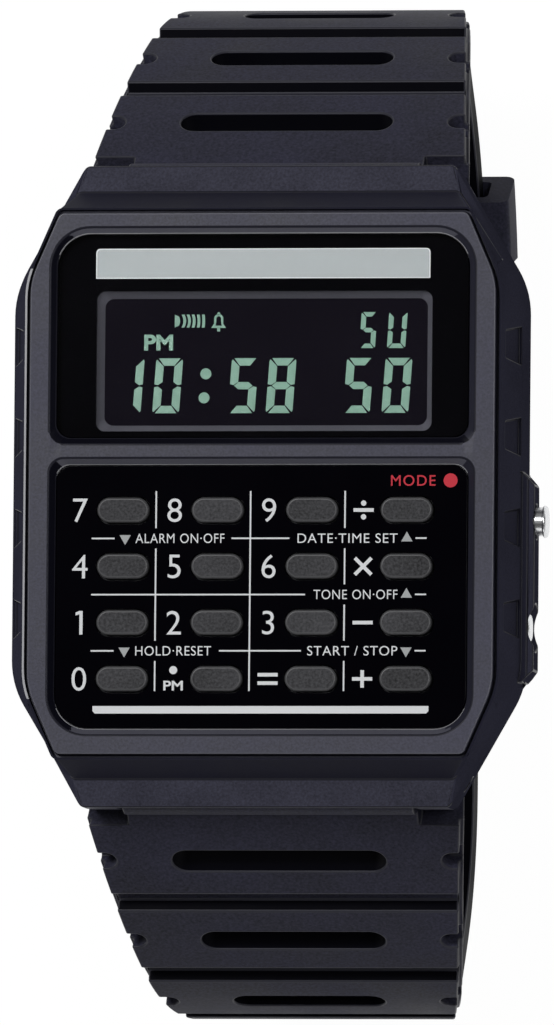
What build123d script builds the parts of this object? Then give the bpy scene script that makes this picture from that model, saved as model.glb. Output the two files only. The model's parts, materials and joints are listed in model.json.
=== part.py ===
from build123d import *
from math import atan2, cos, degrees, radians, sin, sqrt
import os

os.makedirs("parts", exist_ok=True)

# Calculator watch with a resin case and strap, in millimetres
# It stands on its buckle with the face up: +Z is out of the face, +Y is 12 o'clock, +X is 3 o'clock
# A depth is a distance below the face, and a reach is a distance along the strap from its root

# Case
case_width = 34.9
case_length = 43.0
case_height = 8.2
back_thickness = 0.9
face_width = 31.4
face_length = 36.2
face_straight = 27.2
face_end_width = 27.5
face_round = 5.0
corner_round = 0.5
groove_width = 0.28
groove_depth = 0.8
shoulder_depth = 0.25
shoulder_land = 0.05
slope_break_depth = 2.2
slope_break_run = 1.55
rim_depth = 3.0
rim_inset = 0.35
widest_depth = 4.6
body_straight = 26.4
body_end_width = 24.9
body_round = 6.0
foot_inset = 0.45
end_foot_inset = 0.1

# Windows in the face
window_width = 28.7
display_low = 2.61
display_high = 17.15
keypad_low = -16.84
keypad_high = 1.69
lip_width = 0.45
far_corner_round = 2.7
near_corner_round = 1.0
glass_depth = 0.3
glass_thickness = 0.8
mask_thickness = 0.3
panel_depth = 0.45
panel_thickness = 0.75
ceiling_depth = 1.8
ledge_width = 1.35
window_gap = 0.05

# Cavity, closed by the back
cavity_width = 26.8
cavity_length = 31.2
cavity_round = 4.0
module_gap = 0.3
module_wall = 0.8
module_bottom_depth = 6.6
module_step_length = 5.6
inner_gap = 0.2

# Display
lcd_view_width = 21.74
lcd_view_low = 4.0
lcd_view_high = 12.46
lcd_frame_slope = 0.46
lcd_frame_rim = 0.25
lcd_frame_height = 0.65
lcd_round = 0.6
lcd_border = 0.8
lcd_thickness = 1.2
tray_thickness = 0.6
connector_width = 1.0
connector_length = 20.0

# Keypad
key_length = 3.5
key_width = 1.67
key_pitch_x = 6.37
key_pitch_y = 3.76
keys_centre_x = 0.245
keys_centre_y = -7.42
key_proud = 0.4
key_gap = 0.1
key_flange = 0.35
key_flange_thickness = 0.4
key_stem_width = 1.0
key_travel = 0.4
key_play = 0.05
sheet_thickness = 0.5
dome_height = 1.15
dome_radius = 1.35
dome_top_radius = 0.9
dome_wall = 0.3
dome_sides = 8

# Circuit
board_thickness = 0.6
battery_diameter = 20.0
battery_thickness = 1.6
battery_step = 0.35
battery_y = -3.8
battery_gap = 0.05
clip_width = 4.0
clip_thickness = 0.2
chip_size = 5.0
chip_thickness = 0.9
chip_x = -5.0
chip_y = 10.2
chip_chamfer = 0.3
crystal_diameter = 1.6
crystal_length = 5.6
crystal_x = 4.0
crystal_y = 8.1
crystal_chamfer = 0.3
buzzer_diameter = 9.0
buzzer_thickness = 0.25
buzzer_x = 6.3
buzzer_y = 9.9
buzzer_cup_diameter = 6.0
buzzer_cup_height = 0.2
contact_x = 7.2
contact_y = 11.2
contact_radius = 0.8
contact_wire = 0.24
contact_turns = 3

# Back, its gasket and its screws
back_margin = 1.8
back_end_margin = 1.5
back_corner_length = 1.5
back_corner_width = 0.6
back_chamfer = 0.25
gasket_margin = 0.35
gasket_width = 0.6
gasket_height = 0.45
screw_radius = 0.55
screw_head_radius = 0.85
screw_head_height = 0.45
screw_reach = 2.0
screw_length = 2.4
screw_slot = 0.22
screw_gap = 0.03

# Side buttons and their guard
button_depth = 4.6
mode_y = -2.3
adjust_y = -9.4
button_radius = 0.975
button_proud = 1.25
adjust_sink = 0.3
button_head = 2.1
button_travel = 0.5
button_shaft_radius = 0.6
button_shaft_end = 0.46
button_gap = 0.05
button_flange = 0.12
button_flange_width = 0.25
button_seat_radius = 1.15
seat_floor = 1.8
spring_wire = 0.18
wire_sides = 4
spring_turns = 3
gasket_ring_width = 0.6
gasket_ring_radius = 0.95
clip_ring_radius = 1.1
clip_ring_thickness = 0.18
guard_height = 0.5
guard_start = 0.9
guard_end = -13.1
guard_ramp = 0.8
guard_chamfer = 0.4
guard_top_depth = 3.1
guard_bottom_depth = 6.2
dish_radius = 1.6

# Shallow pockets along the sides
pocket_first_y = -8.9
pocket_pitch = 6.083
pocket_count = 4
pocket_inner_width = 1.8
pocket_outer_width = 2.5
pocket_length = 2.2
pocket_depth = 0.25

# Strap bars
bar_inset = 1.7
bar_depth = 5.35
bar_radius = 0.75
bar_tip_radius = 0.42
bar_tip_gap = 0.05
bar_tip_reach = 0.45
lug_gap = 20.1
knuckle_radius = 2.05
knuckle_gap = 0.3
knuckle_side_gap = 0.2
bar_gap = 0.05
shoulder_radius = 3.2

# Strap: four arcs, given by their base radii and by the angles at which they meet
strap_foot = 0.8
strap_thickness = 2.0
pad_height = 0.8
pad_inset = 0.3
root_angle = 44.0
root_meet = 28.0
side_meet = 0.0
foot_meet = -45.0
foot_angle = -90.0
root_arc_radius = 60.2
upper_arc_radius = 20.6
lower_arc_radius = 17.2
foot_arc_radius = 20.3
foot_arc_inset = 5.71
strap_root_depth = 6.44
strap_root_width = 25.8
strap_mid_width = 20.7
strap_end_width = 16.6
strap_mid_depth = 24.5
strap_end_depth = 42.0
strap_taper_share = 0.16
upper_slot_start = 4.9
lower_slot_start = 4.4
slot_pitch = 8.5
slot_count = 3
slot_width = 2.0
slot_side = 5.2
groove_width_top = 1.8
groove_floor_width = 1.1
groove_draft = 24
pad_count = 4
dimple_width = 1.5
dimple_reach = 1.4
dimple_sink = 0.5

# Buckle end of the 12 o'clock half
pin_y = 5.6
pin_radius = 0.6
pin_gap = 0.05
pin_sink = 0.4
barrel_radius = 1.1
tongue_slot_width = 2.6
tongue_slot_reach = 2.6
frame_bar = 1.6
frame_end_bar = 1.8
frame_gap = 0.35
frame_thickness = 2.4
frame_length = 13.2
frame_round = 2.2
frame_edge_round = 0.45
ear_radius = 1.3
tongue_width = 1.9
tongue_thickness = 1.0
tongue_rest_gap = 0.1
tongue_inset = 0.3
tongue_tip_height = 0.6
tongue_ring_radius = 1.15

# Keeper on the 12 o'clock half
keeper_angle = -69.0
keeper_length = 5.4
keeper_wall = 0.9
keeper_gap = 0.3
keeper_side = 1.5
keeper_side_gap = 0.6
keeper_round = 0.7
keeper_inner_round = 0.4

# Tail of the 6 o'clock half
tail_gap = 0.4
tail_end_y = 14.4
tail_round = 5.5
hole_radius = 1.0
hole_count = 6
hole_pitch = 5.0
hole_first_y = -13.5

overrun = 1.0


# Strap path, from the root at the case to the foot under the loop


def outward(angle):
    return Vector(cos(radians(angle)), sin(radians(angle)))


bar_y = case_length / 2 - bar_inset
foot_centre = Vector(bar_y - foot_arc_inset, strap_foot + foot_arc_radius)
lower_centre = foot_centre + outward(foot_meet) * (foot_arc_radius - lower_arc_radius)
upper_centre = lower_centre + outward(side_meet) * (lower_arc_radius - upper_arc_radius)
root_centre = upper_centre + outward(root_meet) * (upper_arc_radius - root_arc_radius)
front_arcs = [
    (root_centre, root_arc_radius, root_angle, root_meet),
    (upper_centre, upper_arc_radius, root_meet, side_meet),
]
upper_arcs = front_arcs + [
    (lower_centre, lower_arc_radius, side_meet, foot_meet),
    (foot_centre, foot_arc_radius, foot_meet, foot_angle),
]
# The long half turns a little tighter, so that its tail passes inside the short half
tail_foot = strap_foot + strap_thickness + tail_gap
tail_arc_radius = upper_centre.Y - tail_foot
tail_centre = upper_centre + outward(side_meet) * (upper_arc_radius - tail_arc_radius)
lower_arcs = front_arcs + [(tail_centre, tail_arc_radius, side_meet, foot_angle)]

root_heading = outward(root_angle - 90)

# The face stands over the loop, so that the strap leaves the case at its depth
root_top = root_centre + outward(root_angle) * (root_arc_radius + pad_height)
face_height = root_top.Y + strap_root_depth
bar_z = face_height - bar_depth
bar_centre = Vector(bar_y, bar_z)


def level(depth):
    return Plane.XY.offset(face_height - depth)


def finish(piece, name):
    piece.part.label = name
    export_step(piece.part, f"parts/{name}.step")


def tapered_outline(width, length, straight, end_width, side_round, end_round):
    """Outline with straight sides that draw in towards narrower ends."""
    with BuildLine() as outline:
        FilletPolyline(
            (width / 2, -straight / 2),
            (width / 2, straight / 2),
            (end_width / 2, length / 2),
            (-end_width / 2, length / 2),
            (-width / 2, straight / 2),
            (-width / 2, -straight / 2),
            (-end_width / 2, -length / 2),
            (end_width / 2, -length / 2),
            radius=[side_round, side_round, end_round, end_round] * 2,
            close=True,
        )
    make_face(outline.edges())


def window_outline(width, low, high, low_round, high_round):
    """Rectangle with one radius on its low corners and another on its high ones."""
    with BuildLine() as outline:
        FilletPolyline(
            (-width / 2, low),
            (width / 2, low),
            (width / 2, high),
            (-width / 2, high),
            radius=[low_round, low_round, high_round, high_round],
            close=True,
        )
    make_face(outline.edges())


def display_outline(inset):
    """Outline of the display window, drawn in from the edge in the face."""
    window_outline(
        window_width - 2 * inset,
        display_low + inset,
        display_high - inset,
        near_corner_round,
        far_corner_round - inset,
    )


def keypad_outline(inset):
    """Outline of the keypad window, drawn in from the edge in the face."""
    window_outline(
        window_width - 2 * inset,
        keypad_low + inset,
        keypad_high - inset,
        far_corner_round - inset,
        near_corner_round,
    )


def cavity_outline(margin, mode=Mode.ADD):
    """Outline of the cavity, grown outwards by the margin."""
    RectangleRounded(
        cavity_width + 2 * margin,
        cavity_length + 2 * margin,
        cavity_round + margin,
        mode=mode,
    )


# Depths that follow from the stack of pieces
mask_depth = glass_depth + glass_thickness
ledge_depth = mask_depth + mask_thickness
panel_seat_depth = panel_depth + panel_thickness
lcd_depth = ledge_depth + lcd_frame_height
tray_depth = lcd_depth + lcd_thickness
board_depth = tray_depth + tray_thickness
board_bottom_depth = board_depth + board_thickness
battery_depth = board_bottom_depth + battery_gap
battery_bottom_depth = battery_depth + battery_thickness
back_depth = case_height - back_thickness

bar_tip_x = body_end_width / 2 + bar_tip_reach
knuckle_width = lug_gap - 2 * knuckle_side_gap
pin_z = strap_foot + strap_thickness / 2
button_z = face_height - button_depth

# Case body

# Each row gives depth, width, length, straight part of the sides and width of the ends
shoulder_grow = 2 * (groove_width + shoulder_land)
rim_width = case_width - 2 * rim_inset
break_share = (slope_break_depth - shoulder_depth) / (rim_depth - shoulder_depth)
shoulder_width = face_width + shoulder_grow
shoulder_end_width = face_end_width + groove_width
break_width = shoulder_width + (rim_width - shoulder_width) * break_share
break_length = face_length + 2 * slope_break_run
break_end_width = shoulder_end_width + (body_end_width - shoulder_end_width) * break_share
body_levels = (
    (shoulder_depth, shoulder_width, face_length + shoulder_grow, face_straight, shoulder_end_width),
    (slope_break_depth, break_width, break_length, face_straight, break_end_width),
    (rim_depth, rim_width, case_length, body_straight, body_end_width),
    (widest_depth, case_width, case_length, body_straight, body_end_width),
    (
        back_depth,
        case_width - 2 * foot_inset,
        case_length - 2 * end_foot_inset,
        body_straight,
        body_end_width - 2 * end_foot_inset,
    ),
)

# Upper side facet, which carries the pockets
facet_run = (rim_width - shoulder_width) / 2
facet_drop = rim_depth - shoulder_depth
facet_length = sqrt(facet_run**2 + facet_drop**2)


def facet_plane(side, y):
    """Plane on the upper side facet, with its local y up the facet and its origin at the foot."""
    return Plane(
        origin=(side * rim_width / 2, y, face_height - rim_depth),
        x_dir=(0, side, 0),
        z_dir=(side * facet_drop / facet_length, 0, facet_run / facet_length),
    )


# Button guard on the 3 o'clock side: its section, cut to its outline seen from the front
guard_x = case_width / 2 + guard_height
guard_inner_x = case_width / 2 - foot_inset - guard_height
with BuildPart() as guard:
    with BuildSketch(Plane.XZ.offset(-guard_start)):
        with BuildLine():
            Polyline(
                (guard_inner_x, face_height - guard_bottom_depth),
                (guard_x - guard_chamfer, face_height - guard_bottom_depth),
                (guard_x, face_height - guard_bottom_depth + guard_chamfer),
                (guard_x, face_height - guard_top_depth - guard_chamfer),
                (guard_x - guard_chamfer, face_height - guard_top_depth),
                (guard_inner_x, face_height - guard_top_depth),
                close=True,
            )
        make_face()
    extrude(amount=guard_start - guard_end)
    with BuildSketch(level(guard_bottom_depth)):
        with BuildLine():
            Polyline(
                (guard_inner_x, guard_start),
                (case_width / 2 - foot_inset / 2, guard_start),
                (guard_x, guard_start - guard_ramp),
                (guard_x, guard_end + guard_ramp),
                (case_width / 2 - foot_inset / 2, guard_end),
                (guard_inner_x, guard_end),
                close=True,
            )
        make_face()
    extrude(amount=guard_bottom_depth - guard_top_depth, mode=Mode.INTERSECT)

with BuildPart() as case:
    for depth, width, length, straight, end_width in body_levels:
        with BuildSketch(level(depth)):
            tapered_outline(width, length, straight, end_width, body_round, corner_round)
    loft(ruled=True)
    # Groove round the face plate, then the plate itself
    with BuildSketch(level(groove_depth)):
        tapered_outline(
            face_width + 2 * groove_width,
            face_length + 2 * groove_width,
            face_straight,
            face_end_width + groove_width,
            face_round + groove_width,
            corner_round,
        )
    extrude(amount=groove_depth, mode=Mode.SUBTRACT)
    with BuildSketch(level(groove_depth)):
        tapered_outline(
            face_width, face_length, face_straight, face_end_width, face_round, corner_round
        )
    extrude(amount=groove_depth)
    add(guard.part)
    # Shallow pockets on both sides
    for side in (1, -1):
        for index in range(pocket_count):
            with BuildSketch(facet_plane(side, pocket_first_y + index * pocket_pitch)):
                with BuildLine():
                    Polyline(
                        (-pocket_outer_width / 2, 0),
                        (pocket_outer_width / 2, 0),
                        (pocket_inner_width / 2, pocket_length),
                        (-pocket_inner_width / 2, pocket_length),
                        close=True,
                    )
                make_face()
            extrude(amount=-pocket_depth, mode=Mode.SUBTRACT)
    # Window lips, pockets and the openings through their ledges
    for outline, seat in ((display_outline, ledge_depth), (keypad_outline, panel_seat_depth)):
        lip_depth = glass_depth if outline is display_outline else panel_depth
        with BuildSketch(level(0)):
            outline(0)
        with BuildSketch(level(lip_depth)):
            outline(lip_width)
        loft(ruled=True, mode=Mode.SUBTRACT)
        with BuildSketch(level(seat)):
            outline(lip_width)
        extrude(amount=seat - lip_depth, mode=Mode.SUBTRACT)
    with BuildSketch(level(ceiling_depth)):
        keypad_outline(lip_width + ledge_width)
    extrude(amount=ceiling_depth - panel_seat_depth, mode=Mode.SUBTRACT)
    with BuildSketch(level(ceiling_depth)):
        window_outline(
            lcd_view_width + 2 * (lcd_frame_slope + lcd_frame_rim + inner_gap),
            lcd_view_low - lcd_frame_slope - lcd_frame_rim - inner_gap,
            lcd_view_high + lcd_frame_slope + lcd_frame_rim + inner_gap,
            lcd_round,
            lcd_round,
        )
    extrude(amount=ceiling_depth - ledge_depth, mode=Mode.SUBTRACT)
    # Cavity for the movement, and the groove of the gasket
    with BuildSketch(level(back_depth)):
        cavity_outline(0)
    extrude(amount=back_depth - ceiling_depth, mode=Mode.SUBTRACT)
    with BuildSketch(level(back_depth)):
        cavity_outline(gasket_margin + gasket_width)
        cavity_outline(gasket_margin, mode=Mode.SUBTRACT)
    extrude(amount=gasket_height, mode=Mode.SUBTRACT)
    # Room for the strap knuckles between the lugs, and the holes for the bars
    for end in (1, -1):
        with BuildSketch(Plane.YZ):
            with Locations((end * bar_y, bar_z)):
                Circle(knuckle_radius + knuckle_gap)
            with Locations((end * bar_y, bar_z)):
                Rectangle(
                    2 * (knuckle_radius + knuckle_gap),
                    case_height,
                    align=(Align.CENTER, Align.MAX),
                )
        extrude(amount=lug_gap / 2, both=True, mode=Mode.SUBTRACT)
        with BuildSketch(Plane.YZ):
            with Locations((end * bar_y, bar_z)):
                Circle(bar_tip_radius + bar_tip_gap)
        extrude(amount=case_width / 2, both=True, mode=Mode.SUBTRACT)
    # Bores and seats of the side buttons
    for button_y in (mode_y, adjust_y):
        with BuildSketch(Plane.YZ.offset(cavity_width / 2 - module_gap)):
            with Locations((button_y, button_z)):
                Circle(button_shaft_radius + button_gap)
        extrude(amount=case_width / 2, mode=Mode.SUBTRACT)
        with BuildSketch(Plane.YZ.offset(cavity_width / 2 + seat_floor)):
            with Locations((button_y, button_z)):
                Circle(button_seat_radius)
        extrude(amount=case_width / 2, mode=Mode.SUBTRACT)
        with BuildSketch(Plane.YZ.offset(cavity_width / 2 + gasket_margin)):
            with Locations((button_y, button_z)):
                Circle(gasket_ring_radius)
        extrude(amount=gasket_ring_width, mode=Mode.SUBTRACT)
    # Dish that gives a fingertip access to the sunk button
    with BuildSketch(Plane.YZ.offset(case_width / 2 - guard_height)):
        with Locations((adjust_y, button_z)):
            Circle(button_seat_radius)
    with BuildSketch(Plane.YZ.offset(case_width / 2 + guard_height)):
        with Locations((adjust_y, button_z)):
            Circle(dish_radius)
    loft(mode=Mode.SUBTRACT)
    # Screw holes in the corners, outside the gasket
    screw_x = cavity_width / 2 - cavity_round * (1 - sqrt(1 / 2)) + screw_reach * sqrt(1 / 2)
    screw_y = cavity_length / 2 - cavity_round * (1 - sqrt(1 / 2)) + screw_reach * sqrt(1 / 2)
    with BuildSketch(level(back_depth)):
        with GridLocations(2 * screw_x, 2 * screw_y, 2, 2):
            Circle(screw_radius + screw_gap)
    extrude(amount=screw_length, mode=Mode.SUBTRACT)
finish(case, "case")

# Display window, its printed mask, and the frame and cell of the display

with BuildPart() as display_window:
    with BuildSketch(level(mask_depth)):
        display_outline(lip_width + window_gap)
    extrude(amount=glass_thickness)
finish(display_window, "display_window")

lcd_frame_low = lcd_view_low - lcd_frame_slope
lcd_frame_high = lcd_view_high + lcd_frame_slope
lcd_frame_width = lcd_view_width + 2 * lcd_frame_slope

with BuildPart() as display_mask:
    with BuildSketch(level(ledge_depth)):
        display_outline(lip_width + window_gap)
    extrude(amount=mask_thickness)
    with BuildSketch(level(ledge_depth)):
        window_outline(lcd_frame_width, lcd_frame_low, lcd_frame_high, lcd_round, lcd_round)
    extrude(amount=mask_thickness, mode=Mode.SUBTRACT)
finish(display_mask, "display_mask")

with BuildPart() as lcd_frame:
    with BuildSketch(level(lcd_depth)):
        window_outline(
            lcd_frame_width + 2 * lcd_frame_rim,
            lcd_frame_low - lcd_frame_rim,
            lcd_frame_high + lcd_frame_rim,
            lcd_round,
            lcd_round,
        )
    extrude(amount=lcd_frame_height)
    with BuildSketch(level(lcd_depth)):
        window_outline(lcd_view_width, lcd_view_low, lcd_view_high, lcd_round, lcd_round)
    with BuildSketch(level(ledge_depth)):
        window_outline(lcd_frame_width, lcd_frame_low, lcd_frame_high, lcd_round, lcd_round)
    loft(ruled=True, mode=Mode.SUBTRACT)
finish(lcd_frame, "lcd_frame")

with BuildPart() as lcd_panel:
    with BuildSketch(level(tray_depth)):
        with Locations((0, (lcd_view_low + lcd_view_high) / 2)):
            Rectangle(
                lcd_view_width + 2 * lcd_border,
                lcd_view_high - lcd_view_low + 2 * lcd_border,
            )
    extrude(amount=lcd_thickness)
finish(lcd_panel, "lcd_panel")

# Movement: holder, connectors, board and what is on it

key_flange_depth = panel_seat_depth + key_play
module_step_depth = key_flange_depth + key_flange_thickness + key_travel + inner_gap
button_room = button_shaft_end + button_travel + inner_gap

connector_rows = (
    lcd_view_low - lcd_border + connector_width,
    lcd_view_high + lcd_border - connector_width,
)
tray_low = lcd_view_low - lcd_border - inner_gap

with BuildPart() as module_frame:
    with BuildSketch(level(module_bottom_depth)):
        cavity_outline(-module_gap)
        cavity_outline(-module_gap - module_wall, mode=Mode.SUBTRACT)
    extrude(amount=module_bottom_depth - ceiling_depth)
    # Tray under the display, with slots for the connectors
    with BuildSketch(level(board_depth)):
        window_outline(
            cavity_width - 2 * module_gap - module_wall,
            tray_low,
            cavity_length / 2 - module_gap - module_wall / 2,
            corner_round,
            cavity_round - module_gap - module_wall / 2,
        )
        with Locations(*[(0, row) for row in connector_rows]):
            Rectangle(connector_length, connector_width, mode=Mode.SUBTRACT)
    extrude(amount=tray_thickness)
    # Step that leaves room for the flanges of the lowest keys
    with BuildSketch(level(module_step_depth)):
        with Locations((0, -cavity_length / 2)):
            Rectangle(cavity_width, module_step_length, align=(Align.CENTER, Align.MIN))
    extrude(amount=module_step_depth - ceiling_depth, mode=Mode.SUBTRACT)
    # Room for the inner ends of the side buttons
    for button_y in (mode_y, adjust_y):
        with BuildSketch(Plane.YZ.offset(cavity_width / 2 - button_room)):
            with Locations((button_y, button_z)):
                Rectangle(
                    2 * (clip_ring_radius + module_gap),
                    2 * (clip_ring_radius + module_gap),
                )
        extrude(amount=button_room, mode=Mode.SUBTRACT)
finish(module_frame, "module_frame")

with BuildPart() as lcd_connectors:
    with BuildSketch(level(board_depth)):
        with Locations(*[(0, row) for row in connector_rows]):
            Rectangle(connector_length, connector_width)
    extrude(amount=tray_thickness)
finish(lcd_connectors, "lcd_connectors")

board_inset = module_gap + module_wall + inner_gap

with BuildPart() as circuit_board:
    with BuildSketch(level(board_bottom_depth)):
        cavity_outline(-board_inset)
    extrude(amount=board_thickness)
finish(circuit_board, "circuit_board")

with BuildPart() as control_chip:
    with BuildSketch(level(board_bottom_depth)):
        with Locations((chip_x, chip_y)):
            Rectangle(chip_size, chip_size)
    extrude(amount=-chip_thickness)
    chamfer(control_chip.edges().group_by(Axis.Z)[0], length=chip_chamfer)
finish(control_chip, "control_chip")

with BuildPart() as quartz_crystal:
    with BuildSketch(Plane.YZ.offset(crystal_x)):
        with Locations((crystal_y, face_height - board_bottom_depth - crystal_diameter / 2)):
            Circle(crystal_diameter / 2)
    extrude(amount=crystal_length / 2, both=True)
    chamfer(quartz_crystal.edges().group_by(Axis.X)[-1], length=crystal_chamfer)
finish(quartz_crystal, "quartz_crystal")

with BuildPart() as battery:
    with BuildSketch(level(battery_bottom_depth)):
        with Locations((0, battery_y)):
            Circle(battery_diameter / 2)
    extrude(amount=battery_thickness - battery_step)
    with BuildSketch(level(battery_depth + battery_step)):
        with Locations((0, battery_y)):
            Circle(battery_diameter / 2 - 2 * battery_step)
    extrude(amount=battery_step)
finish(battery, "battery")

# Spring strip that hooks under the board and holds the cell
clip_inside = battery_diameter + 2 * inner_gap
with BuildPart() as battery_clip:
    with BuildSketch(Plane.XZ.offset(-battery_y)):
        with BuildLine():
            Polyline(
                (-clip_inside / 2, face_height - board_bottom_depth),
                (-clip_inside / 2, face_height - battery_bottom_depth),
                (clip_inside / 2, face_height - battery_bottom_depth),
                (clip_inside / 2, face_height - board_bottom_depth),
                (clip_inside / 2 + clip_thickness, face_height - board_bottom_depth),
                (
                    clip_inside / 2 + clip_thickness,
                    face_height - battery_bottom_depth - clip_thickness,
                ),
                (
                    -clip_inside / 2 - clip_thickness,
                    face_height - battery_bottom_depth - clip_thickness,
                ),
                (-clip_inside / 2 - clip_thickness, face_height - board_bottom_depth),
                close=True,
            )
        make_face()
    extrude(amount=clip_width / 2, both=True)
finish(battery_clip, "battery_clip")

with BuildPart() as buzzer:
    with BuildSketch(level(back_depth)):
        with Locations((buzzer_x, buzzer_y)):
            Circle(buzzer_diameter / 2)
    extrude(amount=buzzer_thickness)
    with BuildSketch(level(back_depth - buzzer_thickness)):
        with Locations((buzzer_x, buzzer_y)):
            Circle(buzzer_cup_diameter / 2)
    extrude(amount=buzzer_cup_height)
finish(buzzer, "buzzer")

contact_bottom = face_height - back_depth + buzzer_thickness + buzzer_cup_height
contact_height = face_height - board_bottom_depth - contact_bottom - contact_wire
with BuildPart() as buzzer_contact:
    with BuildLine():
        contact_path = Helix(
            pitch=contact_height / contact_turns,
            height=contact_height,
            radius=contact_radius,
            center=(contact_x, contact_y, contact_bottom + contact_wire / 2),
        )
    with BuildSketch(Plane(origin=contact_path @ 0, z_dir=contact_path % 0)):
        RegularPolygon(radius=contact_wire / 2, side_count=wire_sides)
    sweep(is_frenet=True)
finish(buzzer_contact, "buzzer_contact")

# Back plate, gasket and screws

back_width = cavity_width + 2 * back_margin
back_length = cavity_length + 2 * back_end_margin
with BuildPart() as case_back:
    with BuildSketch(level(case_height)):
        tapered_outline(
            back_width,
            back_length,
            back_length - 2 * back_corner_length,
            back_width - 2 * back_corner_width,
            2 * corner_round,
            2 * corner_round,
        )
    extrude(amount=back_thickness)
    chamfer(case_back.edges().group_by(Axis.Z)[0], length=back_chamfer)
    with BuildSketch(level(case_height)):
        with GridLocations(2 * screw_x, 2 * screw_y, 2, 2):
            Circle(screw_radius + screw_gap)
    extrude(amount=back_thickness, mode=Mode.SUBTRACT)
    with BuildSketch(level(case_height)):
        with GridLocations(2 * screw_x, 2 * screw_y, 2, 2):
            Circle(screw_head_radius + screw_gap)
    extrude(amount=screw_head_height, mode=Mode.SUBTRACT)
finish(case_back, "case_back")

with BuildPart() as case_back_gasket:
    with BuildSketch(level(back_depth)):
        cavity_outline(gasket_margin + gasket_width)
        cavity_outline(gasket_margin, mode=Mode.SUBTRACT)
    extrude(amount=gasket_height)
finish(case_back_gasket, "case_back_gasket")

with BuildPart() as case_back_screws:
    with BuildSketch(level(case_height)):
        with GridLocations(2 * screw_x, 2 * screw_y, 2, 2):
            Circle(screw_head_radius)
    extrude(amount=screw_head_height)
    with BuildSketch(level(case_height - screw_head_height)):
        with GridLocations(2 * screw_x, 2 * screw_y, 2, 2):
            Circle(screw_radius)
    extrude(amount=screw_length)
    with BuildSketch(level(case_height)):
        with GridLocations(2 * screw_x, 2 * screw_y, 2, 2):
            Rectangle(2 * screw_radius, screw_slot)
            Rectangle(screw_slot, 2 * screw_radius)
    extrude(amount=screw_slot, mode=Mode.SUBTRACT)
finish(case_back_screws, "case_back_screws")

# Keypad: printed plate, sixteen keys and the rubber sheet under them

key_columns = [keys_centre_x + (column - 1.5) * key_pitch_x for column in range(4)]
key_rows = [keys_centre_y + (1.5 - row) * key_pitch_y for row in range(4)]
key_places = [(x, y) for y in key_rows for x in key_columns]
key_names = (
    ("seven", "eight", "nine", "divide")
    + ("four", "five", "six", "times")
    + ("one", "two", "three", "minus")
    + ("zero", "point", "equals", "plus")
)

with BuildPart() as keypad_panel:
    with BuildSketch(level(panel_seat_depth)):
        keypad_outline(lip_width + window_gap)
        with Locations(*key_places):
            SlotOverall(key_length + 2 * key_gap, key_width + 2 * key_gap, mode=Mode.SUBTRACT)
    extrude(amount=panel_thickness)
finish(keypad_panel, "keypad_panel")

dome_top_depth = board_depth - sheet_thickness - dome_height
dome_taper = degrees(atan2(dome_radius - dome_top_radius, dome_height))
for name, place in zip(key_names, key_places):
    with BuildPart() as key:
        # Flange under the plate, cap through it and stem down to the dome
        with BuildSketch(level(key_flange_depth + key_flange_thickness)):
            with Locations(place):
                Rectangle(key_length + 2 * key_flange, key_width + 2 * key_flange)
        extrude(amount=key_flange_thickness)
        with BuildSketch(level(key_flange_depth)):
            with Locations(place):
                SlotOverall(key_length, key_width)
        extrude(amount=key_flange_depth - panel_depth + key_proud)
        chamfer(key.edges().group_by(Axis.Z)[-1], length=key_gap)
        with BuildSketch(level(dome_top_depth - key_play)):
            with Locations(place):
                Rectangle(key_stem_width, key_stem_width)
        extrude(amount=dome_top_depth - key_play - key_flange_depth)
    finish(key, f"key_{name}")

with BuildPart() as key_sheet:
    with BuildSketch(level(board_depth)):
        window_outline(
            cavity_width - 2 * board_inset,
            -cavity_length / 2 + board_inset,
            tray_low - inner_gap,
            cavity_round - board_inset,
            corner_round,
        )
    extrude(amount=sheet_thickness)
    # One hollow dome under each key
    with BuildSketch(level(board_depth - sheet_thickness)):
        with Locations(*key_places):
            RegularPolygon(radius=dome_radius, side_count=dome_sides)
    extrude(amount=dome_height, taper=dome_taper)
    with BuildSketch(level(board_depth)):
        with Locations(*key_places):
            RegularPolygon(radius=dome_radius - dome_wall, side_count=dome_sides)
    extrude(
        amount=sheet_thickness + dome_height - dome_wall,
        taper=dome_taper,
        mode=Mode.SUBTRACT,
    )
finish(key_sheet, "key_sheet")

# Side buttons, each with its clip, gasket and return spring

button_inner_x = case_width / 2 + button_proud - button_head
shaft_inner_x = cavity_width / 2 - button_shaft_end
seat_x = cavity_width / 2 + seat_floor
spring_radius = (button_shaft_radius + button_radius) / 2
spring_height = button_inner_x - seat_x - spring_wire - button_gap
ring_x = cavity_width / 2 + gasket_margin + gasket_ring_width / 2

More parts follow.
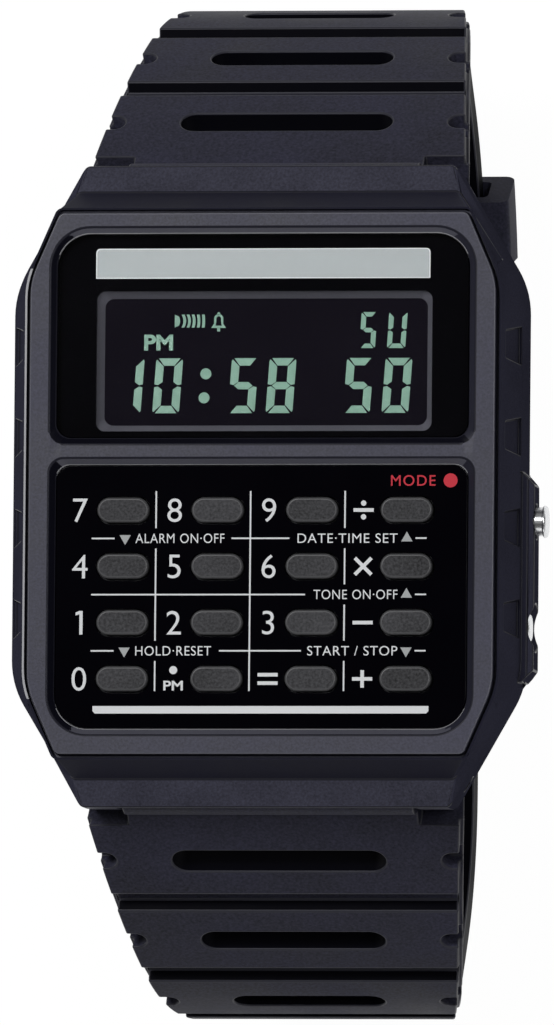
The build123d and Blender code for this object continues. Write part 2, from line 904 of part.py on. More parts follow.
for name, button_y, outer_x in (
    ("mode", mode_y, case_width / 2 + button_proud),
    ("adjust", adjust_y, case_width / 2 + guard_height - adjust_sink),
):
    with BuildPart() as button:
        with BuildSketch(Plane.YZ.offset(button_inner_x)):
            with Locations((button_y, button_z)):
                Circle(button_radius)
        extrude(amount=outer_x - button_inner_x)
        if name == "mode":
            with BuildSketch(Plane.YZ.offset(outer_x - button_flange_width)):
                with Locations((button_y, button_z)):
                    Circle(button_radius + button_flange)
            extrude(amount=button_flange_width)
        chamfer(button.edges().group_by(Axis.X)[-1], length=button_flange)
        with BuildSketch(Plane.YZ.offset(shaft_inner_x)):
            with Locations((button_y, button_z)):
                Circle(button_shaft_radius)
        extrude(amount=button_inner_x - shaft_inner_x)
    finish(button, f"{name}_button")

    with BuildPart() as button_clip:
        with BuildSketch(Plane.YZ.offset(cavity_width / 2 - button_gap - clip_ring_thickness)):
            with Locations((button_y, button_z)):
                Circle(clip_ring_radius)
                Circle(button_shaft_radius + button_gap / 2, mode=Mode.SUBTRACT)
        extrude(amount=clip_ring_thickness)
    finish(button_clip, f"{name}_button_clip")

    with BuildPart() as button_gasket:
        with BuildSketch(Plane.YZ.offset(ring_x)):
            with Locations((button_y, button_z)):
                Circle(gasket_ring_radius)
                Circle(button_shaft_radius + button_gap / 2, mode=Mode.SUBTRACT)
        extrude(amount=(gasket_ring_width - button_gap) / 2, both=True)
    finish(button_gasket, f"{name}_button_gasket")

    with BuildPart() as button_spring:
        with BuildLine():
            coil = Helix(
                pitch=spring_height / spring_turns,
                height=spring_height,
                radius=spring_radius,
                center=(seat_x + spring_wire / 2, button_y, button_z),
                direction=(1, 0, 0),
            )
        with BuildSketch(Plane(origin=coil @ 0, z_dir=coil % 0)):
            RegularPolygon(radius=spring_wire / 2, side_count=wire_sides)
        sweep(is_frenet=True)
    finish(button_spring, f"{name}_button_spring")

# Strap bars

for name, end in (("upper", 1), ("lower", -1)):
    with BuildPart() as bar:
        with BuildSketch(Plane.YZ):
            with Locations((end * bar_y, bar_z)):
                Circle(bar_radius)
        extrude(amount=lug_gap / 2 - bar_gap, both=True)
        with BuildSketch(Plane.YZ):
            with Locations((end * bar_y, bar_z)):
                Circle(bar_tip_radius)
        extrude(amount=bar_tip_x, both=True)
    finish(bar, f"spring_bar_{name}")

# Strap halves


def band_point(arc, angle, inset, side):
    centre, radius = arc[:2]
    point = centre + outward(angle) * (radius - inset)
    return (side * point.X, point.Y)


def band_face(arcs, outer, inner, side, end_y=None):
    """Side view of the strap between two insets from its base surface, from the bar to the end."""
    with BuildLine() as outline:
        for inset in (outer, inner):
            for centre, radius, start, end in arcs:
                first = start if side > 0 else 180 - start
                CenterArc(
                    (side * centre.X, centre.Y), radius - inset, first, side * (end - start)
                )
        roots = []
        ends = []
        for inset in (outer, inner):
            root = root_centre + outward(root_angle) * (root_arc_radius - inset)
            foot = root - root_heading * (root - bar_centre).dot(root_heading)
            Line((side * foot.X, foot.Y), (side * root.X, root.Y))
            roots.append((side * foot.X, foot.Y))
            last = band_point(arcs[-1], arcs[-1][3], inset, side)
            ends.append(last)
            if end_y is not None:
                Line(last, (end_y, last[1]))
                ends[-1] = (end_y, last[1])
        Line(*roots)
        Line(*ends)
    make_face(outline.edges())


def cut_arcs(arcs, reach):
    """The arcs up to a reach, measured along the tops of the pads."""
    kept = []
    for centre, radius, start, end in arcs:
        length = radians(start - end) * (radius + pad_height)
        if reach <= length:
            kept.append((centre, radius, start, start - degrees(reach / (radius + pad_height))))
            break
        kept.append((centre, radius, start, end))
        reach = reach - length
    return kept


def band_plane(arcs, reach, side):
    """Plane on the base surface at a reach, facing out of the loop."""
    centre, radius, start, angle = cut_arcs(arcs, reach)[-1]
    y, z = band_point((centre, radius), angle, 0, side)
    direction = outward(angle)
    return Plane(origin=(0, y, z), x_dir=(1, 0, 0), z_dir=(0, side * direction.X, direction.Y))


strap_root_z = root_centre.Y + root_arc_radius * sin(radians(root_angle))


def strap_front(inset):
    """Front view of the strap, which narrows from the case towards the buckle."""
    with BuildLine() as outline:
        right = Spline(
            (strap_root_width / 2 - inset, strap_root_z),
            (strap_mid_width / 2 - inset, face_height - strap_mid_depth),
            (strap_end_width / 2 - inset, face_height - strap_end_depth),
            tangents=((-strap_taper_share, -1), (0, -1)),
        )
        Line(right @ 1, (strap_end_width / 2 - inset, -overrun))
        Line((strap_end_width / 2 - inset, -overrun), (0, -overrun))
        Line(right @ 0, (strap_root_width / 2 - inset, face_height))
        Line((strap_root_width / 2 - inset, face_height), (0, face_height))
        mirror(about=Plane.YZ)
    make_face(outline.edges())


def strap_width_at(z):
    share = (strap_root_z - z) / (strap_root_z - face_height + strap_mid_depth)
    return strap_root_width + (strap_mid_width - strap_root_width) * share


pad_sink = strap_thickness / 4

for half, side, arcs, end_y, slot_start in (
    ("upper", 1, upper_arcs, pin_y, upper_slot_start),
    ("lower", -1, lower_arcs, tail_end_y, lower_slot_start),
):
    pads_end = slot_start + slot_pitch * (pad_count - 0.5) - groove_width_top / 2
    with BuildPart() as pads:
        with BuildSketch(Plane.YZ):
            band_face(cut_arcs(arcs, pads_end), -pad_height, pad_sink, side)
        extrude(amount=strap_root_width, both=True)
        with BuildSketch(Plane.XZ):
            strap_front(pad_inset)
        extrude(amount=face_height, both=True, mode=Mode.INTERSECT)
        # Cross grooves, halfway between the slots
        for index in range(pad_count - 1):
            with BuildSketch(band_plane(arcs, slot_start + slot_pitch * (index + 0.5), side)):
                Rectangle(strap_root_width, groove_floor_width)
            extrude(amount=pad_height + overrun, taper=-groove_draft, mode=Mode.SUBTRACT)

    with BuildPart() as strap:
        with BuildSketch(Plane.YZ):
            band_face(arcs, 0, strap_thickness, side, end_y)
        extrude(amount=strap_root_width, both=True)
        with BuildSketch(Plane.XZ):
            strap_front(0)
        extrude(amount=face_height, both=True, mode=Mode.INTERSECT)
        add(pads.part)
        # Slots through the pads, each with a dimple at both edges
        for index in range(slot_count):
            place = band_plane(arcs, slot_start + slot_pitch * index, side)
            width = strap_width_at(place.origin.Z)
            with BuildSketch(place):
                SlotOverall(width - 2 * slot_side, slot_width)
            extrude(amount=strap_thickness + overrun, both=True, mode=Mode.SUBTRACT)
            with BuildSketch(place.offset(-dimple_sink)):
                with Locations((width / 2, 0), (-width / 2, 0)):
                    SlotOverall(2 * dimple_reach, dimple_width)
            extrude(amount=pad_height + dimple_sink + overrun, mode=Mode.SUBTRACT)
        # Shoulders clear of the lugs, and the knuckle between them
        for edge in (1, -1):
            with BuildSketch(Plane.YZ.offset(edge * knuckle_width / 2)):
                with Locations((side * bar_y, bar_z)):
                    Circle(shoulder_radius)
            extrude(amount=edge * strap_root_width, mode=Mode.SUBTRACT)
        with BuildSketch(Plane.YZ):
            with Locations((side * bar_y, bar_z)):
                Circle(knuckle_radius)
        extrude(amount=knuckle_width / 2, both=True)
        with BuildSketch(Plane.YZ):
            with Locations((side * bar_y, bar_z)):
                Circle(bar_radius + bar_gap)
        extrude(amount=strap_root_width, both=True, mode=Mode.SUBTRACT)
        if half == "upper":
            # Barrel round the buckle pin, open in the middle for the tongue
            with BuildSketch(Plane.YZ):
                with Locations((pin_y, pin_z)):
                    Circle(barrel_radius)
            extrude(amount=strap_end_width / 2, both=True)
            with BuildSketch(Plane.YZ):
                with Locations((pin_y, pin_z)):
                    Circle(pin_radius + pin_gap)
            extrude(amount=strap_end_width, both=True, mode=Mode.SUBTRACT)
            with BuildSketch(Plane.XY):
                with Locations((0, pin_y)):
                    SlotOverall(2 * tongue_slot_reach, tongue_slot_width, rotation=90)
            extrude(amount=2 * (strap_foot + strap_thickness), mode=Mode.SUBTRACT)
        else:
            # Row of holes and a rounded tip
            with BuildSketch(Plane.XY):
                with Locations(*[(0, hole_first_y + hole_pitch * index) for index in range(hole_count)]):
                    Circle(hole_radius)
            extrude(amount=tail_foot + 2 * strap_thickness, mode=Mode.SUBTRACT)
            fillet(strap.edges().filter_by(Axis.Z).group_by(Axis.Y)[-1], radius=tail_round)
    finish(strap, f"strap_{half}")

# Buckle: frame, tongue and pin

frame_inside = strap_end_width + 2 * frame_gap
frame_width = frame_inside + 2 * frame_bar
frame_end_y = pin_y - frame_length

with BuildPart() as buckle_frame:
    with BuildSketch(Plane.YZ):
        with Locations((frame_end_y, 0)):
            Rectangle(frame_length, frame_thickness, align=(Align.MIN, Align.MIN))
        with Locations((pin_y, pin_z)):
            Circle(ear_radius)
    extrude(amount=frame_width / 2, both=True)
    with BuildSketch(Plane.XY):
        with Locations((0, frame_end_y + frame_end_bar)):
            Rectangle(frame_inside, 2 * frame_length, align=(Align.CENTER, Align.MIN))
    extrude(amount=2 * frame_thickness, mode=Mode.SUBTRACT)
    fillet(buckle_frame.edges().filter_by(Axis.Z).group_by(Axis.Y)[0], radius=frame_round)
    fillet(
        buckle_frame.faces().sort_by(Axis.Z)[0].outer_wire().edges(),
        radius=frame_edge_round,
    )
    fillet(
        buckle_frame.edges().filter_by(Axis.X).group_by(Axis.Z)[-1],
        radius=frame_edge_round,
    )
    # Rest for the tongue in the end bar, then the pin hole through the ears
    with BuildSketch(Plane.XY):
        with Locations((0, frame_end_y)):
            Rectangle(tongue_width + 2 * tongue_rest_gap, 2 * frame_end_bar + 2 * overrun)
    extrude(amount=tongue_thickness + 2 * tongue_rest_gap, mode=Mode.SUBTRACT)
    with BuildSketch(Plane.YZ):
        with Locations((pin_y, pin_z)):
            Circle(pin_radius + pin_gap)
    extrude(amount=frame_width, both=True, mode=Mode.SUBTRACT)
finish(buckle_frame, "buckle_frame")

with BuildPart() as buckle_pin:
    with BuildSketch(Plane.YZ):
        with Locations((pin_y, pin_z)):
            Circle(pin_radius)
    extrude(amount=frame_width / 2 - pin_sink, both=True)
finish(buckle_pin, "buckle_pin")

# The tongue curls round the pin and lies flush in the end bar
with BuildPart() as buckle_tongue:
    with BuildSketch(Plane.YZ):
        with BuildLine():
            Polyline(
                (pin_y, tongue_rest_gap),
                (frame_end_y + tongue_inset, tongue_rest_gap),
                (frame_end_y + tongue_inset, tongue_rest_gap + tongue_tip_height),
                (frame_end_y + frame_end_bar, tongue_rest_gap + tongue_thickness),
                (pin_y, tongue_rest_gap + tongue_thickness),
                close=True,
            )
        make_face()
        with Locations((pin_y, pin_z)):
            Circle(tongue_ring_radius)
    extrude(amount=tongue_width / 2, both=True)
    with BuildSketch(Plane.YZ):
        with Locations((pin_y, pin_z)):
            Circle(pin_radius + pin_gap)
    extrude(amount=tongue_width, both=True, mode=Mode.SUBTRACT)
finish(buckle_tongue, "buckle_tongue")

# Keeper, a loop that slides along the curved part of the short half

keeper_half_angle = degrees(keeper_length / 2 / foot_arc_radius)
keeper_width = strap_end_width + 2 * (keeper_side_gap + keeper_side)
keeper_low = outward(keeper_angle - keeper_half_angle)

with BuildPart() as keeper:
    with BuildSketch(
        Plane(
            origin=(0, foot_centre.X, foot_centre.Y),
            x_dir=(1, 0, 0),
            z_dir=(0, -keeper_low.Y, keeper_low.X),
        )
    ):
        with Locations((0, foot_arc_radius - strap_thickness / 2)):
            RectangleRounded(
                keeper_width,
                strap_thickness + 2 * (keeper_gap + keeper_wall),
                keeper_round,
            )
            RectangleRounded(
                keeper_width - 2 * keeper_side,
                strap_thickness + 2 * keeper_gap,
                keeper_inner_round,
                mode=Mode.SUBTRACT,
            )
    revolve(
        axis=Axis((0, foot_centre.X, foot_centre.Y), (1, 0, 0)),
        revolution_arc=2 * keeper_half_angle,
    )
finish(keeper, "keeper")
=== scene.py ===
# %% [markdown]
# # A calculator watch, dressed for its picture
#
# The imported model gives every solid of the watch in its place. This lesson gives those solids
# their looks: rounded edges, moulded resin, brushed steel, printed legends and a display.
# Each piece is named after what it is on the watch, and it moves with the body that carries it.

import json
from math import cos, pi, radians, sin

import bmesh
import bpy
from mathutils import Matrix, Vector

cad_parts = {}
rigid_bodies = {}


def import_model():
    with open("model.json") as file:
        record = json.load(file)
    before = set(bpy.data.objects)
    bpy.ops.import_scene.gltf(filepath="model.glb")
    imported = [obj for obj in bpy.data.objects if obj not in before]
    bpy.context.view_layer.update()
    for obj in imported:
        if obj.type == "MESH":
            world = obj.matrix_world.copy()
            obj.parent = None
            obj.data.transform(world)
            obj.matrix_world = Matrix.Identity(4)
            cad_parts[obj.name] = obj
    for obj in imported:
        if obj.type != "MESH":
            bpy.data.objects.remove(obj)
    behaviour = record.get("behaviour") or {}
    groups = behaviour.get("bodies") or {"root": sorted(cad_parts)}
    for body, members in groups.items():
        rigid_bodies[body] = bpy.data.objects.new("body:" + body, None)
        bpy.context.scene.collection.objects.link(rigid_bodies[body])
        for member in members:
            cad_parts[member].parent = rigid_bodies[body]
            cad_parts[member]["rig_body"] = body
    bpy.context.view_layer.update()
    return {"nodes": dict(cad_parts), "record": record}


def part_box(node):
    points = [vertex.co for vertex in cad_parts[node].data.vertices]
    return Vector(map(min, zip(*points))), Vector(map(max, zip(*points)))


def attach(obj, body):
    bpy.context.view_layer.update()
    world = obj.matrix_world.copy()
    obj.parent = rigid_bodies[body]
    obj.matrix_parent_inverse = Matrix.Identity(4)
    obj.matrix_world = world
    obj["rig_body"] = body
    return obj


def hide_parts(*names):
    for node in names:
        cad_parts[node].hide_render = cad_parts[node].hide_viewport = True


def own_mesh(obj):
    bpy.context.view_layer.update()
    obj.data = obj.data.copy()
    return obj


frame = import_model()
nodes = frame["nodes"]
body_of_node = {name: node["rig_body"] for name, node in nodes.items()}
mm = 0.001

# %% [markdown]
# ## The picture's camera
#
# The picture was taken with a long lens, a little to the 3 o'clock and 6 o'clock side of the
# face. A near camera with a wide view would spread the band, and a far one with a narrow view
# gives the same flat look. It is aimed at a point of the face, and rolled by half a degree.

# %% Camera
face_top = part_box("case")[1].z
aim = Vector((1.10 * mm, -1.97 * mm, face_top))
toward_camera = Vector((0.148, -0.069, 0.986)).normalized()
picture_right = Vector((0.989, 0.009, -0.148))
camera_distance = 1.62
lens_length, sensor_height = 853.4, 36
farthest_seen = 10

camera_data = bpy.data.cameras.new("camera")
camera_data.sensor_fit = "VERTICAL"
camera_data.sensor_height = sensor_height
camera_data.lens = lens_length
camera_data.clip_end = farthest_seen
camera = bpy.data.objects.new("camera", camera_data)
bpy.context.scene.collection.objects.link(camera)
picture_up = toward_camera.cross(picture_right).normalized()
picture_right = picture_up.cross(toward_camera)
turn = Matrix((picture_right, picture_up, toward_camera)).transposed()
camera.matrix_world = Matrix.Translation(aim + toward_camera * camera_distance) @ turn.to_4x4()
bpy.context.scene.camera = camera
print("camera at, m:", [round(value, 3) for value in camera.matrix_world.translation])

# %% [markdown]
# ## Joining nodes
#
# Floor, world and finishes are all small trees of nodes. Each could be wired by hand, link by
# link. A few short helpers say the same in one line each, so that a later cell shows what its
# tree does.

# %% Helpers for node trees
def link_up(tree, *pairs):
    """Joins sockets in pairs, from an output to an input."""
    for source, target in pairs:
        tree.links.new(source, target)


def reckoned(tree, operation, *values):
    """The result of a Math node; each value is a number or a socket."""
    node = tree.nodes.new("ShaderNodeMath")
    node.operation = operation
    for index, value in enumerate(values):
        if isinstance(value, float):
            node.inputs[index].default_value = value
        else:
            tree.links.new(value, node.inputs[index])
    return node.outputs[0]


def seen_directly(tree):
    """A value of 1 for what the camera, a mirror or a clear pane shows, and 0 for other light."""
    path = tree.nodes.new("ShaderNodeLightPath").outputs
    seen = reckoned(tree, "MAXIMUM", path["Is Camera Ray"], path["Is Glossy Ray"])
    return reckoned(tree, "MAXIMUM", seen, path["Is Transmission Ray"])


print("helpers:", link_up.__name__, reckoned.__name__, seen_directly.__name__)

# %% [markdown]
# ## Floor
#
# A small dark product is shown on pale paper. Paper lit until it clips to white would also light
# the watch too much. So the floor glows only for the camera and for what mirrors it, and a small
# share of what it shows is real light, which keeps the soft shadow of the watch on it.

# %% Pale floor
floor_reach = 4.0
paper_colour = (0.70, 0.70, 0.71, 1)
paper_glow = 1.04
glow_share = 0.94

floor_mesh = bpy.data.meshes.new("floor")
floor_signs = [(-1, -1), (1, -1), (1, 1), (-1, 1)]
floor_corners = [(x * floor_reach, y * floor_reach, 0) for x, y in floor_signs]
floor_mesh.from_pydata(floor_corners, [], [(0, 1, 2, 3)])
floor = bpy.data.objects.new("floor", floor_mesh)
bpy.context.scene.collection.objects.link(floor)

paper = bpy.data.materials.new("pale_paper")
paper.use_nodes = True
tree = paper.node_tree
tree.nodes.clear()
lit = tree.nodes.new("ShaderNodeBsdfDiffuse")
lit.inputs["Color"].default_value = paper_colour
glow = tree.nodes.new("ShaderNodeEmission")
glow.inputs["Strength"].default_value = paper_glow
mix = tree.nodes.new("ShaderNodeMixShader")
out = tree.nodes.new("ShaderNodeOutputMaterial")
link_up(
    tree,
    (reckoned(tree, "MULTIPLY", seen_directly(tree), glow_share), mix.inputs[0]),
    (lit.outputs[0], mix.inputs[1]),
    (glow.outputs[0], mix.inputs[2]),
    (mix.outputs[0], out.inputs[0]),
)
floor_mesh.materials.append(paper)
print("floor width, m:", 2 * floor_reach, "glow share:", glow_share)

# %% [markdown]
# ## The room round the watch
#
# A shiny window and polished steel show the room that they stand in. A picture of a room could be
# wrapped round the scene. A ramp over the height does it with four levels: pale at the horizon,
# grey above it and dark overhead, which keeps the window clear of reflections.

# %% Studio world
# Height above the horizon, and the light that comes from there
sky_levels = ((0.02, 0.90), (0.10, 0.14), (0.80, 0.14), (0.93, 0.02))
fill_level = 0.10

world = bpy.data.worlds.new("studio")
bpy.context.scene.world = world
world.use_nodes = True
tree = world.node_tree
tree.nodes.clear()
direction = tree.nodes.new("ShaderNodeTexCoord")
split = tree.nodes.new("ShaderNodeSeparateXYZ")
sky = tree.nodes.new("ShaderNodeValToRGB")
while len(sky.color_ramp.elements) < len(sky_levels):
    sky.color_ramp.elements.new(0.5)
for stop, (height, level) in zip(sky.color_ramp.elements, sky_levels):
    stop.position = height
    stop.color = (level, level, level, 1)
room = tree.nodes.new("ShaderNodeBackground")
fill = tree.nodes.new("ShaderNodeBackground")
fill.inputs["Color"].default_value = (fill_level, fill_level, fill_level, 1)
choice = tree.nodes.new("ShaderNodeMixShader")
out = tree.nodes.new("ShaderNodeOutputWorld")
link_up(
    tree,
    (direction.outputs["Generated"], split.inputs[0]),
    (split.outputs["Z"], sky.inputs[0]),
    (sky.outputs[0], room.inputs["Color"]),
    (seen_directly(tree), choice.inputs[0]),
    (fill.outputs[0], choice.inputs[1]),
    (room.outputs[0], choice.inputs[2]),
    (choice.outputs[0], out.inputs[0]),
)
print("fill light:", fill_level, "levels over the height:", sky_levels)

# %% [markdown]
# ## Lamps
#
# Product pictures use soft boxes: one strong above, and weaker ones that open the dark sides.
# Small lamps or a sun would give hard shadows on so small a thing. An area lamp is a soft box,
# and each is turned to the point that the camera looks at.

# %% Soft lamps
def lamp(name, place, size, power):
    """A soft rectangular lamp that looks at the face of the watch."""
    data = bpy.data.lights.new(name, "AREA")
    data.shape = "RECTANGLE"
    data.size, data.size_y = size
    data.energy = power
    box = bpy.data.objects.new(name, data)
    box.location = place
    box.rotation_euler = (aim - Vector(place)).to_track_quat("-Z", "Y").to_euler()
    bpy.context.scene.collection.objects.link(box)


lamp("lamp_above", place=(-0.17, 0.17, 0.55), size=(0.13, 0.16), power=1.6)
lamp("lamp_right", place=(0.22, 0.02, 0.55), size=(0.12, 0.2), power=0.65)
lamp("lamp_low", place=(0.05, -0.60, 0.30), size=(0.40, 0.25), power=0.40)
bpy.context.scene.view_settings.view_transform = "Standard"

# %% [markdown]
# ## Surface effects that several finishes share
#
# Moulded resin has a fine satin grain with softer clouds in it, and turned or brushed metal has
# long thin lines. Each finish could hold its own noise nodes. One node group for each effect, with
# named inputs, lets every finish set its own grain and strength, and nothing is drawn twice.

# %% Helpers for effect groups
soft_noise = {"Detail": 2.0, "Roughness": 0.5}
crisp_noise = {"Detail": 3.0, "Roughness": 0.6}
effect_results = [
    ("Colour", "NodeSocketColor"),
    ("Roughness", "NodeSocketFloat"),
    ("Height", "NodeSocketFloat"),
]


def new_group(name, inputs):
    """An empty shader group with its named sockets."""
    group = bpy.data.node_groups.new(name, "ShaderNodeTree")
    for label, kind, value in inputs:
        socket = group.interface.new_socket(label, in_out="INPUT", socket_type=kind)
        socket.default_value = value
    for label, kind in effect_results:
        group.interface.new_socket(label, in_out="OUTPUT", socket_type=kind)
    return group, group.nodes.new("NodeGroupInput").outputs, group.nodes.new("NodeGroupOutput").inputs


def noise_at(tree, position, scale, fineness):
    """A noise texture read at a position, with its scale from a socket."""
    noise = tree.nodes.new("ShaderNodeTexNoise")
    for label, value in fineness.items():
        noise.inputs[label].default_value = value
    link_up(tree, (position, noise.inputs["Vector"]), (scale, noise.inputs["Scale"]))
    return noise.outputs["Fac"]


print("results of each effect:", [label for label, kind in effect_results])

# %% Helpers for shades
noise_low, noise_high = 0.3, 0.7


def spread(tree, value, low, high):
    """A value stretched from a noise's usual range to a range of the finish."""
    stretch = tree.nodes.new("ShaderNodeMapRange")
    stretch.inputs["From Min"].default_value = noise_low
    stretch.inputs["From Max"].default_value = noise_high
    link_up(
        tree,
        (value, stretch.inputs["Value"]),
        (low, stretch.inputs["To Min"]),
        (high, stretch.inputs["To Max"]),
    )
    return stretch.outputs["Result"]


def tinted(tree, given, value):
    """The given colour made lighter or darker by a noise, as far as its spread allows."""
    darkest = reckoned(tree, "SUBTRACT", 1.0, given["Colour Spread"])
    lightest = reckoned(tree, "ADD", 1.0, given["Colour Spread"])
    scale = tree.nodes.new("ShaderNodeVectorMath")
    scale.operation = "SCALE"
    shade = spread(tree, value, darkest, lightest)
    link_up(tree, (given["Colour"], scale.inputs[0]), (shade, scale.inputs["Scale"]))
    return scale.outputs["Vector"]


print("noise is read from", noise_low, "to", noise_high)

# %% Moulded grain
grain_part, cloud_part = 0.6, 0.4


def build_grain():
    """Satin grain of a moulded surface: its colour, its roughness and its height."""
    group, given, result = new_group(
        "moulded_grain",
        [
            ("Colour", "NodeSocketColor", (0.05, 0.05, 0.06, 1)),
            ("Grain Scale", "NodeSocketFloat", 9000.0),
            ("Cloud Scale", "NodeSocketFloat", 160.0),
            ("Colour Spread", "NodeSocketFloat", 0.12),
            ("Roughness", "NodeSocketFloat", 0.5),
            ("Roughness Spread", "NodeSocketFloat", 0.08),
        ],
    )
    place = group.nodes.new("ShaderNodeTexCoord").outputs["Object"]
    grain = noise_at(group, place, given["Grain Scale"], crisp_noise)
    cloud = noise_at(group, place, given["Cloud Scale"], soft_noise)
    soft = reckoned(group, "MULTIPLY", cloud, cloud_part)
    both = reckoned(group, "MULTIPLY_ADD", grain, grain_part, soft)
    smoothest = reckoned(group, "SUBTRACT", given["Roughness"], given["Roughness Spread"])
    roughest = reckoned(group, "ADD", given["Roughness"], given["Roughness Spread"])
    link_up(
        group,
        (tinted(group, given, both), result["Colour"]),
        (spread(group, cloud, smoothest, roughest), result["Roughness"]),
        (grain, result["Height"]),
    )
    return group


moulded_grain = build_grain()
print("group:", moulded_grain.name, "with", len(moulded_grain.nodes), "nodes")

# %% Brushed lines
def build_brushing():
    """Fine parallel lines of brushed metal: their shade, roughness and height."""
    group, given, result = new_group(
        "brushed_lines",
        [
            ("Colour", "NodeSocketColor", (0.5, 0.5, 0.5, 1)),
            ("Along", "NodeSocketVector", (0.02, 1.0, 1.0)),
            ("Line Scale", "NodeSocketFloat", 6000.0),
            ("Colour Spread", "NodeSocketFloat", 0.15),
            ("Roughness", "NodeSocketFloat", 0.3),
            ("Roughness Spread", "NodeSocketFloat", 0.08),
        ],
    )
    place = group.nodes.new("ShaderNodeTexCoord").outputs["Object"]
    squeeze = group.nodes.new("ShaderNodeVectorMath")
    squeeze.operation = "MULTIPLY"
    link_up(group, (place, squeeze.inputs[0]), (given["Along"], squeeze.inputs[1]))
    lines = noise_at(group, squeeze.outputs[0], given["Line Scale"], crisp_noise)
    roughest = reckoned(group, "ADD", given["Roughness"], given["Roughness Spread"])
    link_up(
        group,
        (tinted(group, given, lines), result["Colour"]),
        (spread(group, lines, given["Roughness"], roughest), result["Roughness"]),
        (lines, result["Height"]),
    )
    return group


brushed_lines = build_brushing()
print("group:", brushed_lines.name, "with", len(brushed_lines.nodes), "nodes")

# %% [markdown]
# ## Making a finish
#
# A finish is a Principled surface whose colour, roughness and relief come from a shared effect.
# Printed colours are known as a screen shows them, so those are written that way and changed to
# light values once. What is the same all over a surface is set on the surface node itself.

# %% Colours and surfaces
bump_depth = 0.02 * mm
finishes = {}


def screen(red, green, blue):
    """Light values of a colour that is given as a screen shows it, from 0 to 255."""
    values = []
    for part in (red, green, blue):
        value = part / 255
        values.append(value / 12.92 if value <= 0.04045 else ((value + 0.055) / 1.055) ** 2.4)
    return tuple(values)


def new_finish(name, group, settings, bump, **constants):
    """A finish whose colour, roughness and relief come from a shared effect."""
    material = bpy.data.materials.new(name)
    material.use_nodes = True
    tree = material.node_tree
    surface = tree.nodes["Principled BSDF"]
    effect = tree.nodes.new("ShaderNodeGroup")
    effect.node_tree = group
    for label, value in settings.items():
        effect.inputs[label].default_value = value
    link_up(
        tree,
        (effect.outputs["Colour"], surface.inputs["Base Color"]),
        (effect.outputs["Roughness"], surface.inputs["Roughness"]),
    )
    if bump:
        relief = tree.nodes.new("ShaderNodeBump")
        relief.inputs["Strength"].default_value = bump
        relief.inputs["Distance"].default_value = bump_depth
        link_up(
            tree,
            (effect.outputs["Height"], relief.inputs["Height"]),
            (relief.outputs["Normal"], surface.inputs["Normal"]),
        )
    for label, value in constants.items():
        surface.inputs[label.replace("_", " ")].default_value = value
    finishes[name] = material


middle_grey = 128
print("mid grey on a screen is", round(screen(*[middle_grey] * 3)[0], 3), "in light")

# %% Resin and metal
gloss_spread_share = 0.12
even_spread = 0.12


def resin(name, colour, roughness, grain=9000.0, bump=0.25, colour_spread=even_spread, specular=0.5):
    """Moulded resin, rubber, print or film; the smoother it is, the less its gloss varies."""
    settings = {
        "Colour": (*colour, 1),
        "Grain Scale": grain,
        "Roughness": roughness,
        "Roughness Spread": roughness * gloss_spread_share,
        "Colour Spread": colour_spread,
    }
    new_finish(name, moulded_grain, settings, bump, Specular_IOR_Level=specular)


def metal(name, colour, roughness, along, bump=0.1):
    """Brushed or turned metal, with its lines along one direction."""
    settings = {
        "Colour": (*colour, 1),
        "Along": along,
        "Roughness": roughness,
        "Colour Spread": even_spread,
    }
    new_finish(name, brushed_lines, settings, bump, Metallic=1.0)


print("even surfaces vary by", even_spread, "in shade")

# %% [markdown]
# ## Finishes of the case and the strap
#
# The case and the strap are one black resin with a hint of blue. Its top and slopes are satin,
# and a polished mould leaves the lips and the edges smoother. One finish for all would look like
# soft rubber. Each kind of face has its own finish, and several of them carry painted light and
# shade: the steep band, some ledges and the guard top are painted dark as shade, the lips are
# painted lighter or darker by the way they face the lamps, the rounds are painted dark as shade
# with some painted bright as highlights, and the inside of the strap is painted near black as
# shade.

# %% Case and strap finishes
satin = {"roughness": 0.5, "grain": 6000.0, "bump": 0.4, "colour_spread": 0.5}
plain = {"roughness": 0.45, "colour_spread": 0.3}
polished = {"roughness": 0.35, "bump": 0.05}
resin("case_resin", (0.036, 0.036, 0.059), specular=0.35, **satin)
resin("case_slope", (0.043, 0.043, 0.063), specular=0.12, **satin)
# The steep band, the ledge at 12, 3 and 6 o'clock and the guard top: painted shade, a much darker
# colour of the same resin
resin("case_break", (0.010, 0.010, 0.021), specular=0.05, **plain)
resin("case_side", (0.042, 0.042, 0.064), specular=0.0, **plain)
# Lips: painted light at 12 and 6 o'clock, painted shade at 9 o'clock and below the display, painted
# half shade at 3 o'clock; their polish is real
resin("case_lip", (0.075, 0.075, 0.095), specular=0.15, **polished)
resin("lip_shade", (0.004, 0.004, 0.008), specular=0.05, **polished)
resin("lip_half", (0.020, 0.020, 0.031), specular=0.1, **polished)
# Rounds of the case: painted shade, darker than the resin; their smoother polish is real
resin("case_edge", (0.016, 0.016, 0.024), specular=0.1, **polished)
# Painted light: a bright colour for the groove wall and ledge at 9 o'clock, the fence round and the
# feet of some lips
resin("groove_wall", (0.36, 0.36, 0.38), specular=0.4, **polished)
# Painted highlight on the rounded rim of the flat top
resin("plate_edge", (0.090, 0.090, 0.115), specular=0.4, **polished)
resin(
    "strap_resin", (0.026, 0.026, 0.043),
    roughness=0.6, grain=5000.0, bump=0.5, colour_spread=0.7, specular=0.1,
)
# Inside of the strap and the walls of its slots: painted shade, near black
resin("strap_inside", (0.002, 0.002, 0.004), roughness=0.6, grain=7000.0, specular=0.03)
resin("strap_edge", (0.027, 0.027, 0.038), roughness=0.45, bump=0.1, specular=0.2)
print("finishes so far:", len(finishes))
